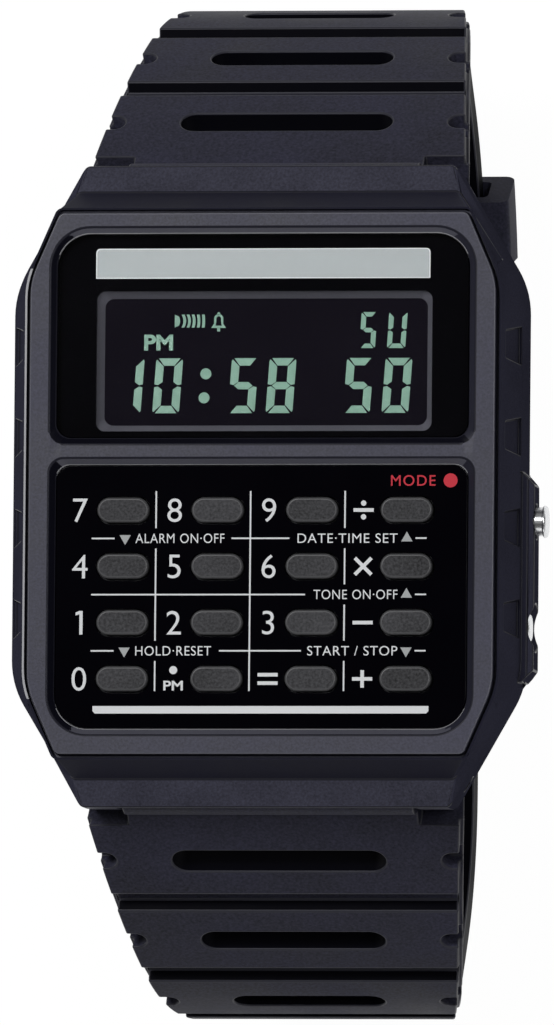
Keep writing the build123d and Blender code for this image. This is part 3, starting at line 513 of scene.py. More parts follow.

# %% [markdown]
# ## Finishes of the window, the display and the keypad
#
# Black print lies behind the window and on the keypad, white and grey ink on top of it, and foil
# and dark film beside it. Print is smooth and even, so its spread is small. The keys are moulded
# with a coarse grain, and their rims are painted a little brighter as a highlight.

# %% Print, display and key finishes
film = {"roughness": 0.10, "bump": 0.0}
ink = {"roughness": 0.35, "bump": 0.04, "specular": 0.1}
resin("mask_ink", (0.0010, 0.0009, 0.0018), specular=0.05, **film)
resin("keypad_print", (0.0012, 0.0010, 0.0022), specular=0.08, **film)
resin("display_cell", (0.0064, 0.0051, 0.0096), roughness=0.12, bump=0.0, specular=0.05)
resin("display_segment", screen(108, 154, 134), roughness=0.4, bump=0.02, colour_spread=0.04)
resin("frame_grey", (0.125, 0.125, 0.150), roughness=0.45, bump=0.1, specular=0.2)
resin(
    "key_plastic", (0.046, 0.046, 0.050),
    roughness=0.6, grain=5500.0, bump=0.7, colour_spread=0.9, specular=0.15,
)
# Key rims: painted highlight, lighter than the key
resin("key_edge", (0.070, 0.070, 0.074), roughness=0.4, bump=0.1, specular=0.4)
resin("white_ink", screen(224, 226, 228), colour_spread=0.03, **ink)
resin("grey_ink", screen(172, 175, 176), colour_spread=0.06, **ink)
resin("red_ink", screen(204, 54, 68), colour_spread=0.05, **ink)
resin("silver_foil", screen(166, 174, 176), roughness=0.4, grain=16000.0, bump=0.12, colour_spread=0.09)
resin("silver_rim", screen(226, 230, 231), roughness=0.3, bump=0.05, colour_spread=0.04)
print("finishes so far:", len(finishes))

# %% [markdown]
# ## Finishes inside the case and of the steel
#
# Inside are a green board, a black chip, a grey holder, seals and a cell, and outside are the
# steel back, buttons and buckle. One grey for all that is hidden would do for a front view, but
# the watch can be opened and turned, so each piece has its own finish. The metals have fine
# lines, which run the way that the piece was brushed.

# %% Movement and metal finishes
brushed_across, brushed_along = (0.03, 1.0, 1.0), (1.0, 0.03, 1.0)
resin("rubber_black", (0.012, 0.012, 0.013), roughness=0.7)
resin("holder_plastic", (0.10, 0.10, 0.105), roughness=0.5)
resin("board", (0.018, 0.10, 0.045), roughness=0.4)
resin("chip", (0.010, 0.010, 0.011), roughness=0.55)
metal("steel", (0.74, 0.75, 0.76), roughness=0.22, along=brushed_across)
metal("cell_metal", (0.66, 0.66, 0.65), roughness=0.28, along=brushed_along)
metal("buzzer_brass", (0.72, 0.52, 0.22), roughness=0.3, along=brushed_along)
print("finishes so far:", len(finishes))

# %% [markdown]
# ## The clear window
#
# The window is a clear hard pane. A pane of glass in a path tracer would throw a dark shadow on
# the print below it. Shadow and diffuse rays pass it unbent here, so the print is lit as it is
# under a real window, and the camera still sees the gloss of the pane.

# %% Window glass
glass_index = 1.45
window_glass = bpy.data.materials.new("window_glass")
window_glass.use_nodes = True
tree = window_glass.node_tree
pane = tree.nodes["Principled BSDF"]
pane.inputs["Base Color"].default_value = (1, 1, 1, 1)
pane.inputs["Roughness"].default_value = 0.0
pane.inputs["IOR"].default_value = glass_index
pane.inputs["Transmission Weight"].default_value = 1.0
clear = tree.nodes.new("ShaderNodeBsdfTransparent")
path = tree.nodes.new("ShaderNodeLightPath").outputs
mix = tree.nodes.new("ShaderNodeMixShader")
link_up(
    tree,
    (reckoned(tree, "MAXIMUM", path["Is Shadow Ray"], path["Is Diffuse Ray"]), mix.inputs[0]),
    (pane.outputs[0], mix.inputs[1]),
    (clear.outputs[0], mix.inputs[2]),
    (mix.outputs[0], tree.nodes["Material Output"].inputs["Surface"]),
)
finishes["window"] = window_glass
print("window glass bends light by", glass_index)

# %% [markdown]
# ## Handing out the finishes
#
# The record of the watch names the material of each piece. Every solid is given the finish of
# that name, also where a dressed copy stands for it later, so nothing is left bare.

# %% Finish of each solid
slot_of_node = {}
for row in frame["record"]["subparts"]:
    slot_of_node[row["node"]] = row["material_slot"]
for name, node in nodes.items():
    node.data.materials.clear()
    node.data.materials.append(finishes[slot_of_node[name]])
print("solids with a finish:", len(slot_of_node))

# %% [markdown]
# ## Zones of the case
#
# A moulded case is one piece, but its flats, slopes and walls come out of the mould with
# different polish and face the lamps in different ways, and several zones carry painted light and
# shade as well. Weights could be painted on its corners.
# Here a zone is a plain test of where a face lies and which way it looks, so it follows the case.

# %% Zones by direction
flat_enough = 0.97
sideways = 0.3
break_begin, break_end = 17.0 * mm, 19.55 * mm
guard_begin, guard_flatness = 16.0 * mm, 0.9


def leans(face):
    """True for the parts of the case that lean away from its flat top."""
    return face.normal.z < flat_enough


def on_side(face):
    """True for the walls at 3 and at 9 o'clock."""
    return leans(face) and abs(face.normal.x) > sideways


def on_break(face):
    """True for the steep band beside the flat top, at 12 and at 6 o'clock, which is painted dark as
    shade.
    """
    in_band = break_begin < abs(face.center.y) < break_end
    return leans(face) and abs(face.normal.y) > sideways and in_band


def on_guard_top(face):
    """True for the flat top of the guard beside the buttons, which is painted dark as shade."""
    return face.center.x > guard_begin and face.normal.z > guard_flatness


print("steep band from", round(break_begin / mm, 2), "to", round(break_end / mm, 2), "mm")

# %% Zones round the windows
window_margin = 0.6 * mm
lip_foot_depth = 0.2 * mm
window_boxes = [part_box("display_mask"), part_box("keypad_panel")]


def in_window(face):
    """True for what lies within the outlines of the two windows of the case."""
    x, y, z = face.center
    for low, high in window_boxes:
        across = low.x - window_margin < x < high.x + window_margin
        if across and low.y - window_margin < y < high.y + window_margin:
            return True
    return False


def on_lip(face):
    """True for the sloped lips round the windows."""
    return leans(face) and in_window(face)


def below_display(face):
    """True for the lip at the lower edge of the display."""
    return face.normal.y > sideways and face.center.y > 0


def on_shaded_lip(face):
    """True for the lips at 9 o'clock and below the display, which are painted dark as shade."""
    return on_lip(face) and (face.normal.x > sideways or below_display(face))


def on_painted_half_shade_lip(face):
    """True for the lips at 3 o'clock, which are painted in half shade."""
    return on_lip(face) and face.normal.x < -sideways


def on_lip_foot(face):
    """True for the lower edges of the lips at 12 and at 6 o'clock, whose rounds get a painted
    highlight.
    """
    low = face.center.z < face_top - lip_foot_depth
    return in_window(face) and low and abs(face.normal.y) > sideways and not below_display(face)


print("windows:", len(window_boxes), "with a margin of", round(window_margin / mm, 2), "mm")

# %% Zones round the groove
rim_depth = 0.12 * mm
ledge_depth, ledge_slack = 0.25 * mm, 0.03 * mm
fence_begin, fence_depth = 15.3 * mm, 0.5 * mm
groove_depth, steep = 0.9 * mm, 0.5
straight_half = 13.7 * mm
ledge_begin = 10 * mm


def on_rim(face):
    """True for the rounded edge of the flat top, where it meets the groove and the bands."""
    return face.center.z > face_top - rim_depth and not in_window(face)


def on_ledge(centre, normal):
    """True for a flat part at the level of the thin ledge outside the groove."""
    return abs(centre.z - face_top + ledge_depth) < ledge_slack and normal.z > flat_enough


def on_painted_light_ledge(face):
    """True for the ledge at 9 o'clock, which is painted bright as a highlight."""
    straight = face.center.x < -ledge_begin and abs(face.center.y) < straight_half
    return on_ledge(face.center, face.normal) and straight


def on_painted_shade_ledge(face):
    """True for the ledge at 12, 3 and 6 o'clock, which is painted dark as shade."""
    return on_ledge(face.center, face.normal) and not on_painted_light_ledge(face)


def on_left_fence(face):
    """True for the thin edge outside the groove at 9 o'clock, whose round is painted bright as a
    highlight.
    """
    straight = face.center.x < -fence_begin and abs(face.center.y) < straight_half
    return straight and face.center.z > face_top - fence_depth


def in_left_groove(face):
    """True for the outer wall of the groove at 9 o'clock, which faces the plate and is painted bright
    as light in the shaded groove.
    """
    left = face.normal.x > steep and face.center.x < -fence_begin
    return left and face.center.z > face_top - groove_depth


print("ledge lies", round(ledge_depth / mm, 2), "mm below the top of the case")

# %% Finish of each zone
# Several zones paint light and shade: a darker band, ledges and guard top, lighter and darker lips, and
# bright walls at 9 o'clock
case_zones = [
    ("case_slope", leans),
    ("case_break", on_break),
    ("case_side", on_side),
    ("case_lip", on_lip),
    ("lip_shade", on_shaded_lip),
    ("lip_half", on_painted_half_shade_lip),
    ("groove_wall", in_left_groove),
    ("case_break", on_painted_shade_ledge),
    ("groove_wall", on_painted_light_ledge),
    ("case_break", on_guard_top),
]
print("zones of the case:", len(case_zones))

# %% [markdown]
# ## Rounded copies of the moulded pieces
#
# A solid from the frame has knife-sharp edges, and real moulded or cut pieces never do: the small
# round along each edge is what catches the lamp. A shader can only fake that round. Each visible
# rigid piece is copied instead, its loose triangles are merged and its flat areas joined, and a
# bevel rounds what is sharper than a set angle. The copy stands for the solid and moves with it.

# %% Merged copies
merge_distance = 0.002 * mm
flat_angle = radians(0.5)


def linked(name, mesh):
    """A new object at the origin that shows a mesh."""
    piece = bpy.data.objects.new(name, mesh)
    bpy.context.scene.collection.objects.link(piece)
    return piece


def evaluated_mesh(piece):
    """The plain mesh that an object's modifiers make; the modifiers are taken off."""
    graph = bpy.context.evaluated_depsgraph_get()
    made = bpy.data.meshes.new_from_object(piece.evaluated_get(graph))
    piece.modifiers.clear()
    return made


def cut_ledge(shell, rows):
    """Cuts the ledge outside the groove across at some rows, so that its parts can differ."""
    for row in rows:
        ledge = [face for face in shell.faces if on_ledge(face.calc_center_median(), face.normal)]
        parts = set(ledge)
        for face in ledge:
            parts.update(face.edges, face.verts)
        bmesh.ops.bisect_plane(shell, geom=list(parts), plane_co=(0, row, 0), plane_no=(0, 1, 0))


def merged_copy(name, ledge_cuts):
    """A mesh of one node, with its loose triangles merged and its flat areas joined."""
    shell = bmesh.new()
    shell.from_mesh(nodes[name].data)
    bmesh.ops.remove_doubles(shell, verts=shell.verts, dist=merge_distance)
    bmesh.ops.dissolve_limit(shell, angle_limit=flat_angle, verts=shell.verts, edges=shell.edges)
    cut_ledge(shell, ledge_cuts)
    mesh = bpy.data.meshes.new(f"{name}_rounded")
    shell.to_mesh(mesh)
    shell.free()
    if "custom_normal" in mesh.attributes:
        mesh.attributes.remove(mesh.attributes["custom_normal"])
    return mesh


print("corners merge within, mm:", merge_distance / mm)

# %% Painting and rounding
round_segments = 2
sharp_angle = radians(28.0)


def paint(mesh, own_finish, zones):
    """Gives a mesh its own finish, and then the finish of each zone, a later over an earlier."""
    mesh.materials.clear()
    mesh.materials.append(finishes[own_finish])
    for finish, belongs in zones:
        mesh.materials.append(finishes[finish])
        for face in mesh.polygons:
            if belongs(face):
                face.material_index = len(mesh.materials) - 1
    for face in mesh.polygons:
        face.use_smooth = True


def add_rounds(piece, round_size, edge_finish):
    """Rounds the sharp edges of a piece; its rounds may have a finish of their own."""
    bevel = piece.modifiers.new("rounds", "BEVEL")
    bevel.width = round_size
    bevel.segments = round_segments
    bevel.limit_method = "ANGLE"
    bevel.angle_limit = sharp_angle
    bevel.use_clamp_overlap = False
    bevel.harden_normals = True
    bevel.miter_outer = "MITER_ARC"
    if edge_finish:
        bevel.material = len(piece.data.materials)
        piece.data.materials.append(finishes[edge_finish])
    piece.data = evaluated_mesh(piece)


print("edges sharper than", round(sharp_angle * 180 / pi), "degrees get", round_segments, "facets")

# %% Painted highlights on the edges, and the whole copy
shading_angle = radians(30)


def paint_edge_highlights(mesh):
    """Paints highlights: the rounds of the case on the rim of the top, on the fence at 9 o'clock and at
    the feet of some lips get a bright colour.
    """
    edge_index = len(mesh.materials) - 1
    mesh.materials.append(finishes["plate_edge"])
    mesh.materials.append(finishes["groove_wall"])
    for face in mesh.polygons:
        if face.material_index != edge_index:
            continue
        if on_rim(face):
            face.material_index = edge_index + 1
        elif on_left_fence(face) or on_lip_foot(face):
            face.material_index = edge_index + 2


def rounded_copy(name, round_size, zones=(), edge_finish=None, ledge_cuts=(), bright=False):
    """A copy of one node with merged faces and rounded edges, which then stands for it."""
    mesh = merged_copy(name, ledge_cuts)
    paint(mesh, slot_of_node[name], zones)
    piece = linked(f"{name}_rounded", mesh)
    if round_size:
        add_rounds(piece, round_size, edge_finish)
    else:
        piece.data.set_sharp_from_angle(angle=shading_angle)
    # Painted highlights on some rounds of the case
    if bright:
        paint_edge_highlights(piece.data)
    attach(piece, body_of_node[name])
    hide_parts(name)
    return piece


print("pieces without rounds shade smoothly up to", round(shading_angle * 180 / pi), "degrees")

# %% Case and strap halves
case_round, strap_round = 0.09 * mm, 0.12 * mm
# The straight part of the ledge at 9 o'clock ends at these rows
ledge_rows = (-14.4 * mm, 14.4 * mm)
inside_turn, slot_half = 0.35, 9.0 * mm
strap_centre = Vector((0, 0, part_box("strap_upper")[1].z / 2))


def inside_strap(face):
    """True for the inner side of a strap half and for the walls of its slots, painted near black as
    shade.
    """
    outward = Vector((0, face.center.y, face.center.z - strap_centre.z)).normalized()
    return face.normal.dot(outward) < inside_turn and abs(face.center.x) < slot_half


# The rounds of the case get a darker colour as painted shade, and some of them painted highlights
case_piece = rounded_copy("case", case_round, case_zones, "case_edge", ledge_rows, bright=True)
print("case faces", len(case_piece.data.polygons))
# The inside of each strap half is painted near black as shade
for name in ("strap_upper", "strap_lower"):
    half = rounded_copy(name, strap_round, [("strap_inside", inside_strap)], "strap_edge")
    print(name, "faces", len(half.data.polygons))

# %% [markdown]
# ## Keys, buttons, buckle and back
#
# The small rigid pieces are moulded or stamped, each with a round that suits its size: a pressed
# key has a soft rim, and a turned button a crisp one. One bevel size for all would melt the small
# ones. A table gives each its own round, and none to the thin keeper and the buckle's frame.

# %% Small rigid pieces
no_round = 0.0
key_round = 0.06 * mm
rounds = {
    "keeper": no_round,
    "buckle_frame": no_round,
    "buckle_tongue": 0.12 * mm,
    "buckle_pin": 0.08 * mm,
    "lcd_frame": 0.04 * mm,
    "mode_button": 0.05 * mm,
    "adjust_button": 0.05 * mm,
    "case_back": 0.06 * mm,
    "case_back_screws": 0.04 * mm,
    "keypad_panel": 0.03 * mm,
}
for name in nodes:
    if slot_of_node[name] == "key_plastic":
        rounds[name] = key_round
# Keys get rims painted brighter as a highlight
for name, size in rounds.items():
    edge = "key_edge" if slot_of_node[name] == "key_plastic" else None
    piece = rounded_copy(name, size, edge_finish=edge)
    print(name, "faces", len(piece.data.polygons))

# %% [markdown]
# ## The window and its gap
#
# The window is a flat pane over a printed mask. On the real watch a hair of air lies between
# them, and without it the two surfaces would lie in one place and flicker. The pane could be made
# anew, but a copy keeps its outline and its top, and only its underside is lifted by that hair.

# %% Window
pane_gap = 0.04 * mm
upright_enough = 0.5


def on_wall(face):
    """True for the upright edge of a flat piece."""
    return abs(face.normal.z) < upright_enough


window = rounded_copy("display_window", no_round, [("mask_ink", on_wall)])
pane_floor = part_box("display_window")[0].z
for corner in window.data.vertices:
    if corner.co.z < pane_floor + 2 * pane_gap:
        corner.co.z = corner.co.z + pane_gap
print("window underside lifted, mm:", pane_gap / mm)

# %% [markdown]
# ## The return springs
#
# A spring behind each side button gives way as the button goes in. Each spring is copied as it is,
# without rounds, and the copy gets a mesh of its own.

# %% Return springs
for name in ("mode_button", "adjust_button"):
    spring = rounded_copy(f"{name}_spring", no_round)
    low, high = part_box(f"{name}_spring")
    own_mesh(spring)

# %% [markdown]
# ## The rubber sheet and its domes
#
# Under each key stands a hollow rubber dome, moulded in one with the sheet, and it folds down as
# the key is pressed. One piece can't flatten in sixteen places by itself. So a copy of the sheet
# is taken apart along the feet of its domes: each dome becomes a piece with a mesh of its own,
# and the flat sheet between them stays as it is.

# %% Parts of the sheet
dome_reach = 1.42 * mm
key_names = sorted(name for name in nodes if slot_of_node[name] == "key_plastic")
centre_of = {name: (sum(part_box(name), Vector()) / 2).xy for name in key_names}


def owner_of(face):
    """The key whose dome a face belongs to, or None for the flat sheet."""
    for name, centre in centre_of.items():
        if all((vert.co.xy - centre).length < dome_reach for vert in face.verts):
            return name
    return None


def part_of_sheet(faces):
    """A mesh in the making that holds some faces of the sheet."""
    part = bmesh.new()
    corner_of = {}
    for face in faces:
        corners = []
        for vert in face.verts:
            if vert.index not in corner_of:
                corner_of[vert.index] = part.verts.new(vert.co)
            corners.append(corner_of[vert.index])
        part.faces.new(corners)
    return part


def close_foot(part, centre):
    """Joins the two open rings round one dome."""
    open_edges = []
    for edge in part.edges:
        middle = (edge.verts[0].co + edge.verts[1].co) / 2
        if edge.is_boundary and (middle.xy - Vector(centre)).length < dome_reach:
            open_edges.append(edge)
    bmesh.ops.bridge_loops(part, edges=open_edges)


def rubber_piece(name, part):
    """Makes a part of the sheet a piece of its own, fixed in the case."""
    bmesh.ops.recalc_face_normals(part, faces=part.faces)
    mesh = bpy.data.meshes.new(name)
    part.to_mesh(mesh)
    part.free()
    mesh.materials.append(finishes[slot_of_node["key_sheet"]])
    piece = linked(name, mesh)
    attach(piece, body_of_node["key_sheet"])
    return piece


# %% Flat sheet and sixteen domes
whole_sheet = bmesh.new()
whole_sheet.from_mesh(nodes["key_sheet"].data)
bmesh.ops.remove_doubles(whole_sheet, verts=whole_sheet.verts, dist=merge_distance)
whole_sheet.verts.index_update()
dome_faces = {name: [] for name in key_names}
flat_faces = []
for face in whole_sheet.faces:
    dome_faces.get(owner_of(face), flat_faces).append(face)

flat_part = part_of_sheet(flat_faces)
for centre in centre_of.values():
    close_foot(flat_part, centre)
flat_sheet = rubber_piece("key_sheet_flat", flat_part)
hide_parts("key_sheet")
for name, faces in dome_faces.items():
    dome_part = part_of_sheet(faces)
    close_foot(dome_part, centre_of[name])
    dome_piece = rubber_piece(f"dome_under_{name}", dome_part)
    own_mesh(dome_piece)
whole_sheet.free()

# %% [markdown]
# ## Flat printed shapes
#
# Ink, foil and display segments are thin flat shapes. Each could be drawn as a mesh face by face,
# but a flat curve closes, fills and thickens itself, also where a shape has a hole in it. The
# curve is made a mesh at once, so its place is written into its points.

# %% From outlines to thin solids
ink_thickness = 0.02 * mm


def outline_curve(name, outlines, thickness):
    """A filled flat curve from closed outlines, with straight sides."""
    curve = bpy.data.curves.new(name, "CURVE")
    curve.dimensions = "2D"
    curve.fill_mode = "BOTH"
    curve.extrude = thickness / 2
    for outline in outlines:
        spline = curve.splines.new("POLY")
        spline.points.add(len(outline) - 1)
        for point, (x, y) in zip(spline.points, outline):
            point.co = (x, y, 0, 1)
        spline.use_cyclic_u = True
    return curve


def mesh_of_curve(curve):
    """A closed mesh of a flat curve or of lettering; the curve is thrown away."""
    holder = linked(curve.name, curve)
    graph = bpy.context.evaluated_depsgraph_get()
    mesh = bpy.data.meshes.new_from_object(holder.evaluated_get(graph))
    bpy.data.objects.remove(holder)
    return mesh


def shape_at(outlines, level, thickness=ink_thickness):
    """The mesh of a flat shape whose underside lies at a level."""
    mesh = mesh_of_curve(outline_curve("shape", outlines, thickness))
    for corner in mesh.vertices:
        corner.co.z = corner.co.z + level + thickness / 2
    return mesh


print("ink is", ink_thickness / mm, "mm thick")

# %% Thin pieces in place
ink_merge = 0.0002 * mm


def laid_down(name, meshes, finish):
    """Joins thin meshes to one closed piece with its faces outwards, fixed in the case."""
    solid = bmesh.new()
    for mesh in meshes:
        solid.from_mesh(mesh)
    joined = bpy.data.meshes.new(name)
    bmesh.ops.remove_doubles(solid, verts=solid.verts, dist=ink_merge)
    bmesh.ops.recalc_face_normals(solid, faces=solid.faces)
    solid.to_mesh(joined)
    solid.free()
    joined.materials.clear()
    joined.materials.append(finishes[finish])
    for face in joined.polygons:
        face.material_index = 0
        face.use_smooth = False
    piece = linked(name, joined)
    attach(piece, body_of_node["case"])
    print(name, "faces", len(joined.polygons))


print("points of ink merge within, mm:", ink_merge / mm)

# %% Round outlines and lettering
letter_steps = 5
ring_steps = 28


def ring_of(centre, radius, count=ring_steps, begin=0.0, end=2 * pi):
    """Points of a circle or of an arc of it."""
    whole = abs(end - begin) >= 2 * pi
    steps = count if whole else count - 1
    x, y = centre
    turns = [begin + (end - begin) * index / steps for index in range(count)]
    return [(x + radius * cos(angle), y + radius * sin(angle)) for angle in turns]


def lettering(words, middle, low, high, level, width=None, weight=0.0, spacing=1.0):
    """Lettering as a thin solid from low to high, round a middle, as wide as told or as it comes."""
    text = bpy.data.curves.new("lettering", "FONT")
    text.body = words
    text.offset = weight
    text.space_character = spacing
    text.resolution_u = letter_steps
    text.extrude = 0.5
    mesh = mesh_of_curve(text)
    across = [corner.co.x for corner in mesh.vertices]
    upright = [corner.co.y for corner in mesh.vertices]
    rise = (high - low) / (max(upright) - min(upright))
    stretch = width / (max(across) - min(across)) if width else rise
    centre = (max(across) + min(across)) / 2
    for corner in mesh.vertices:
        x, y, z = corner.co
        corner.co = (
            middle + (x - centre) * stretch,
            low + (y - min(upright)) * rise,
            level + (z + 0.5) * ink_thickness,
        )
    return mesh


print("a full ring has", len(ring_of((0, 0), mm)), "points")

# %% [markdown]
# ## Walls at the corners of the groove
#
# A groove runs round the flat top of the case. Where the body tapers away below the four slanted
# corners, its outer wall is a mere skin. The solid could be cut and sewn anew there. Short walls
# that back the skin are simpler, and look as the moulded resin does. Each follows the slant and
# turns round the corner, and a strip carries the floor of the groove up to it.

# %% Path of one corner wall
slant_begin = Vector((15.98 * mm, 13.60 * mm))
slant_end = Vector((13.89 * mm, 18.38 * mm))
slant_skip = 0.25
corner_reach = 0.50 * mm
corner_steps = 5

along = (slant_end - slant_begin).normalized()
turn_in = slant_end - along * corner_reach
turn_out = slant_end + Vector((-corner_reach, 0))
path_points = [slant_begin + (slant_end - slant_begin) * slant_skip]
for step in range(corner_steps + 1):
    gone = step / corner_steps
    left_to_go = 1 - gone
    path_points.append(turn_in * left_to_go**2 + slant_end * 2 * gone * left_to_go + turn_out * gone**2)
print("points along one corner:", len(path_points))

# %% Corner walls and floor strips
wall_skin, wall_thickness = 0.005 * mm, 0.055 * mm
wall_top, wall_foot = 0.26 * mm, 0.90 * mm
# The strip goes on under the plate, a hair below the floor of the solid
strip_reach, strip_share = 0.32 * mm, 0.9
strip_top, strip_thickness = 0.81 * mm, 0.15 * mm


def beside(points, distance):
    """Points moved to the right of their path by a distance."""
    moved = []
    for index, point in enumerate(points):
        before, after = points[max(index - 1, 0)], points[min(index + 1, len(points) - 1)]
        ahead = (after - before).normalized()
        moved.append(point + Vector((ahead.y, -ahead.x)) * distance)
    return moved


wall_outline = beside(path_points, wall_skin) + beside(path_points, wall_thickness)[::-1]
strip_outline = beside(path_points, -strip_reach)
strip_outline += beside(path_points, wall_thickness * strip_share)[::-1]
walls = []
for side in (1, -1):
    for end in (1, -1):
        outline = [(x * side, y * end) for x, y in wall_outline]
        walls.append(shape_at([outline], face_top - wall_foot, wall_foot - wall_top))
        outline = [(x * side, y * end) for x, y in strip_outline]
        walls.append(shape_at([outline], face_top - strip_top - strip_thickness, strip_thickness))
laid_down("groove_corner_walls", walls, "case_side")

# %% [markdown]
# ## Trees that print lines and marks
#
# The keypad is ruled with thin lines, and small triangles and dots repeat on it. They could be
# copied one by one. Both follow a rule, so Geometry Nodes make them: one tree sweeps a flat
# section along the edges of a seed mesh, and one sets a mark on each of its points, turned by an
# attribute. The modifier is then used up, because a finished piece is a plain mesh.

# %% Helpers for geometry trees
def new_tree(name, inputs):
    """An empty geometry tree with its named sockets."""
    tree = bpy.data.node_groups.new(name, "GeometryNodeTree")
    tree.interface.new_socket("Geometry", in_out="INPUT", socket_type="NodeSocketGeometry")
    for label, kind in inputs:
        tree.interface.new_socket(label, in_out="INPUT", socket_type=kind)
    tree.interface.new_socket("Geometry", in_out="OUTPUT", socket_type="NodeSocketGeometry")
    return tree, tree.nodes.new("NodeGroupInput").outputs, tree.nodes.new("NodeGroupOutput").inputs


def finish_tree(tree, geometry, given, result):
    """Ends a tree: instances are made real, and the ink is set."""
    real = tree.nodes.new("GeometryNodeRealizeInstances")
    inked = tree.nodes.new("GeometryNodeSetMaterial")
    link_up(
        tree,
        (geometry, real.inputs["Geometry"]),
        (real.outputs["Geometry"], inked.inputs["Geometry"]),
        (given["Ink"], inked.inputs["Material"]),
        (inked.outputs["Geometry"], result["Geometry"]),
    )
    return tree


def grown(tree, seed, settings):
    """The plain mesh that a tree makes of a seed mesh."""
    piece = linked(seed.name, seed)
    modifier = piece.modifiers.new(tree.name, "NODES")
    modifier.node_group = tree
    for item in tree.interface.items_tree:
        if item.in_out == "INPUT" and item.name in settings:
            modifier[item.identifier] = settings[item.name]
    made = evaluated_mesh(piece)
    bpy.data.objects.remove(piece)
    return made


print("helpers:", new_tree.__name__, finish_tree.__name__, grown.__name__)

# %% Swept strokes
def build_strokes():
    """Sweeps a flat section along every edge of the seed."""
    tree, given, result = new_tree(
        "swept_strokes",
        [("Width", "NodeSocketFloat"), ("Thickness", "NodeSocketFloat"), ("Ink", "NodeSocketMaterial")],
    )
    path = tree.nodes.new("GeometryNodeMeshToCurve")
    level = tree.nodes.new("GeometryNodeSetCurveNormal")
    level.mode = "Z_UP"
    section = tree.nodes.new("GeometryNodeCurvePrimitiveQuadrilateral")
    sweep = tree.nodes.new("GeometryNodeCurveToMesh")
    sweep.inputs["Fill Caps"].default_value = True
    link_up(
        tree,
        (given["Geometry"], path.inputs["Mesh"]),
        (path.outputs["Curve"], level.inputs["Curve"]),
        (level.outputs["Curve"], sweep.inputs["Curve"]),
        (given["Width"], section.inputs["Width"]),
        (given["Thickness"], section.inputs["Height"]),
        (section.outputs["Curve"], sweep.inputs["Profile Curve"]),
    )
    return finish_tree(tree, sweep.outputs["Mesh"], given, result)


stroke_tree = build_strokes()


def strokes(lines, width, level, finish, thickness=ink_thickness):
    """Straight strokes between pairs of points, as one thin mesh on a level."""
    seed = bpy.data.meshes.new("strokes")
    points = []
    edges = []
    height = level + thickness / 2
    for begin, end in lines:
        edges.append((len(points), len(points) + 1))
        points += [(*begin, height), (*end, height)]
    seed.from_pydata(points, edges, [])
    settings = {"Width": width, "Thickness": thickness, "Ink": finishes[finish]}
    return grown(stroke_tree, seed, settings)


trial_width = 0.2 * mm
trial = strokes([((0, 0), (mm, 0))], trial_width, 0, "white_ink")
print("a stroke has", len(trial.polygons), "faces")

# %% Marks in place
def build_marks():
    """Sets one mark on every point of the seed, turned by the attribute named turn."""
    tree, given, result = new_tree(
        "marks_in_place", [("Mark", "NodeSocketObject"), ("Ink", "NodeSocketMaterial")]
    )
    mark = tree.nodes.new("GeometryNodeObjectInfo")
    turn = tree.nodes.new("GeometryNodeInputNamedAttribute")
    turn.data_type = "FLOAT"
    turn.inputs["Name"].default_value = "turn"
    angles = tree.nodes.new("ShaderNodeCombineXYZ")
    places = tree.nodes.new("GeometryNodeInstanceOnPoints")
    link_up(
        tree,
        (given["Mark"], mark.inputs["Object"]),
        (turn.outputs["Attribute"], angles.inputs["Z"]),
        (given["Geometry"], places.inputs["Points"]),
        (mark.outputs["Geometry"], places.inputs["Instance"]),
        (angles.outputs[0], places.inputs["Rotation"]),
    )
    return finish_tree(tree, places.outputs["Instances"], given, result)


mark_tree = build_marks()


def marks(outline, places, level, finish):
    """One flat mark at each place; a place is (x, y, turn in degrees)."""
    seed = bpy.data.meshes.new("marks")
    seed.from_pydata([(x, y, level) for x, y, turn in places], [], [])
    turns = seed.attributes.new("turn", "FLOAT", "POINT")
    for index, place in enumerate(places):
        turns.data[index].value = radians(place[2])
    mark = linked("mark", shape_at([outline], 0))
    made = grown(mark_tree, seed, {"Mark": mark, "Ink": finishes[finish]})
    bpy.data.objects.remove(mark)
    return made


trial = marks(ring_of((0, 0), mm), [(0, 0, 0), (mm, 0, 90)], 0, "white_ink")
print("two marks have", len(trial.polygons), "faces")

# %% [markdown]
# ## The keypad's ruled lines
#
# White lines rule the keypad, and leave room where words stand between the rows. They could be
# measured one by one. The places come from the keys themselves: their boxes give the rows and the
# columns, so the print stays in step with the keys, and one tree sweeps all the lines.

# %% Rows and columns
key_rows = (
    ("seven", "eight", "nine", "divide"),
    ("four", "five", "six", "times"),
    ("one", "two", "three", "minus"),
    ("zero", "point", "equals", "plus"),
)


def middle_of(key):
    """The place of a key's middle on the face."""
    low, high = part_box(f"key_{key}")
    return (low.x + high.x) / 2, (low.y + high.y) / 2


columns = [middle_of(key)[0] for key in key_rows[0]]
rows = [middle_of(keys[0])[1] for keys in key_rows]
print_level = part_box("keypad_panel")[1].z
print("columns, mm:", [round(x / mm, 2) for x in columns])
print("rows, mm:", [round(y / mm, 2) for y in rows])

# %% Ruled lines
rule_width = 0.105 * mm
rule_step = 2.19 * mm
top_end, low_end = -0.50 * mm, -13.87 * mm
rule_left, rule_right = -11.46 * mm, 11.13 * mm
stub_left, stub_right = -9.91 * mm, 10.38 * mm
# Where words stand, an upright line stops this far above and below the row's middle
word_gap = 0.68 * mm
# Lines that cross differ in thickness, so that no two faces lie in one place
level_thickness = 0.016 * mm
left_rule, middle_rule, right_rule = [x + rule_step for x in columns[:3]]
rule_rows = [(rows[index] + rows[index + 1]) / 2 for index in range(3)]


def broken_rule(x, broken_rows):
    """The stretches of one upright line, from top to bottom, with a gap at some rows."""
    begins = [top_end] + [row - word_gap for row in broken_rows]
    ends = [row + word_gap for row in broken_rows] + [low_end]
    return [((x, begin), (x, end)) for begin, end in zip(begins, ends)]


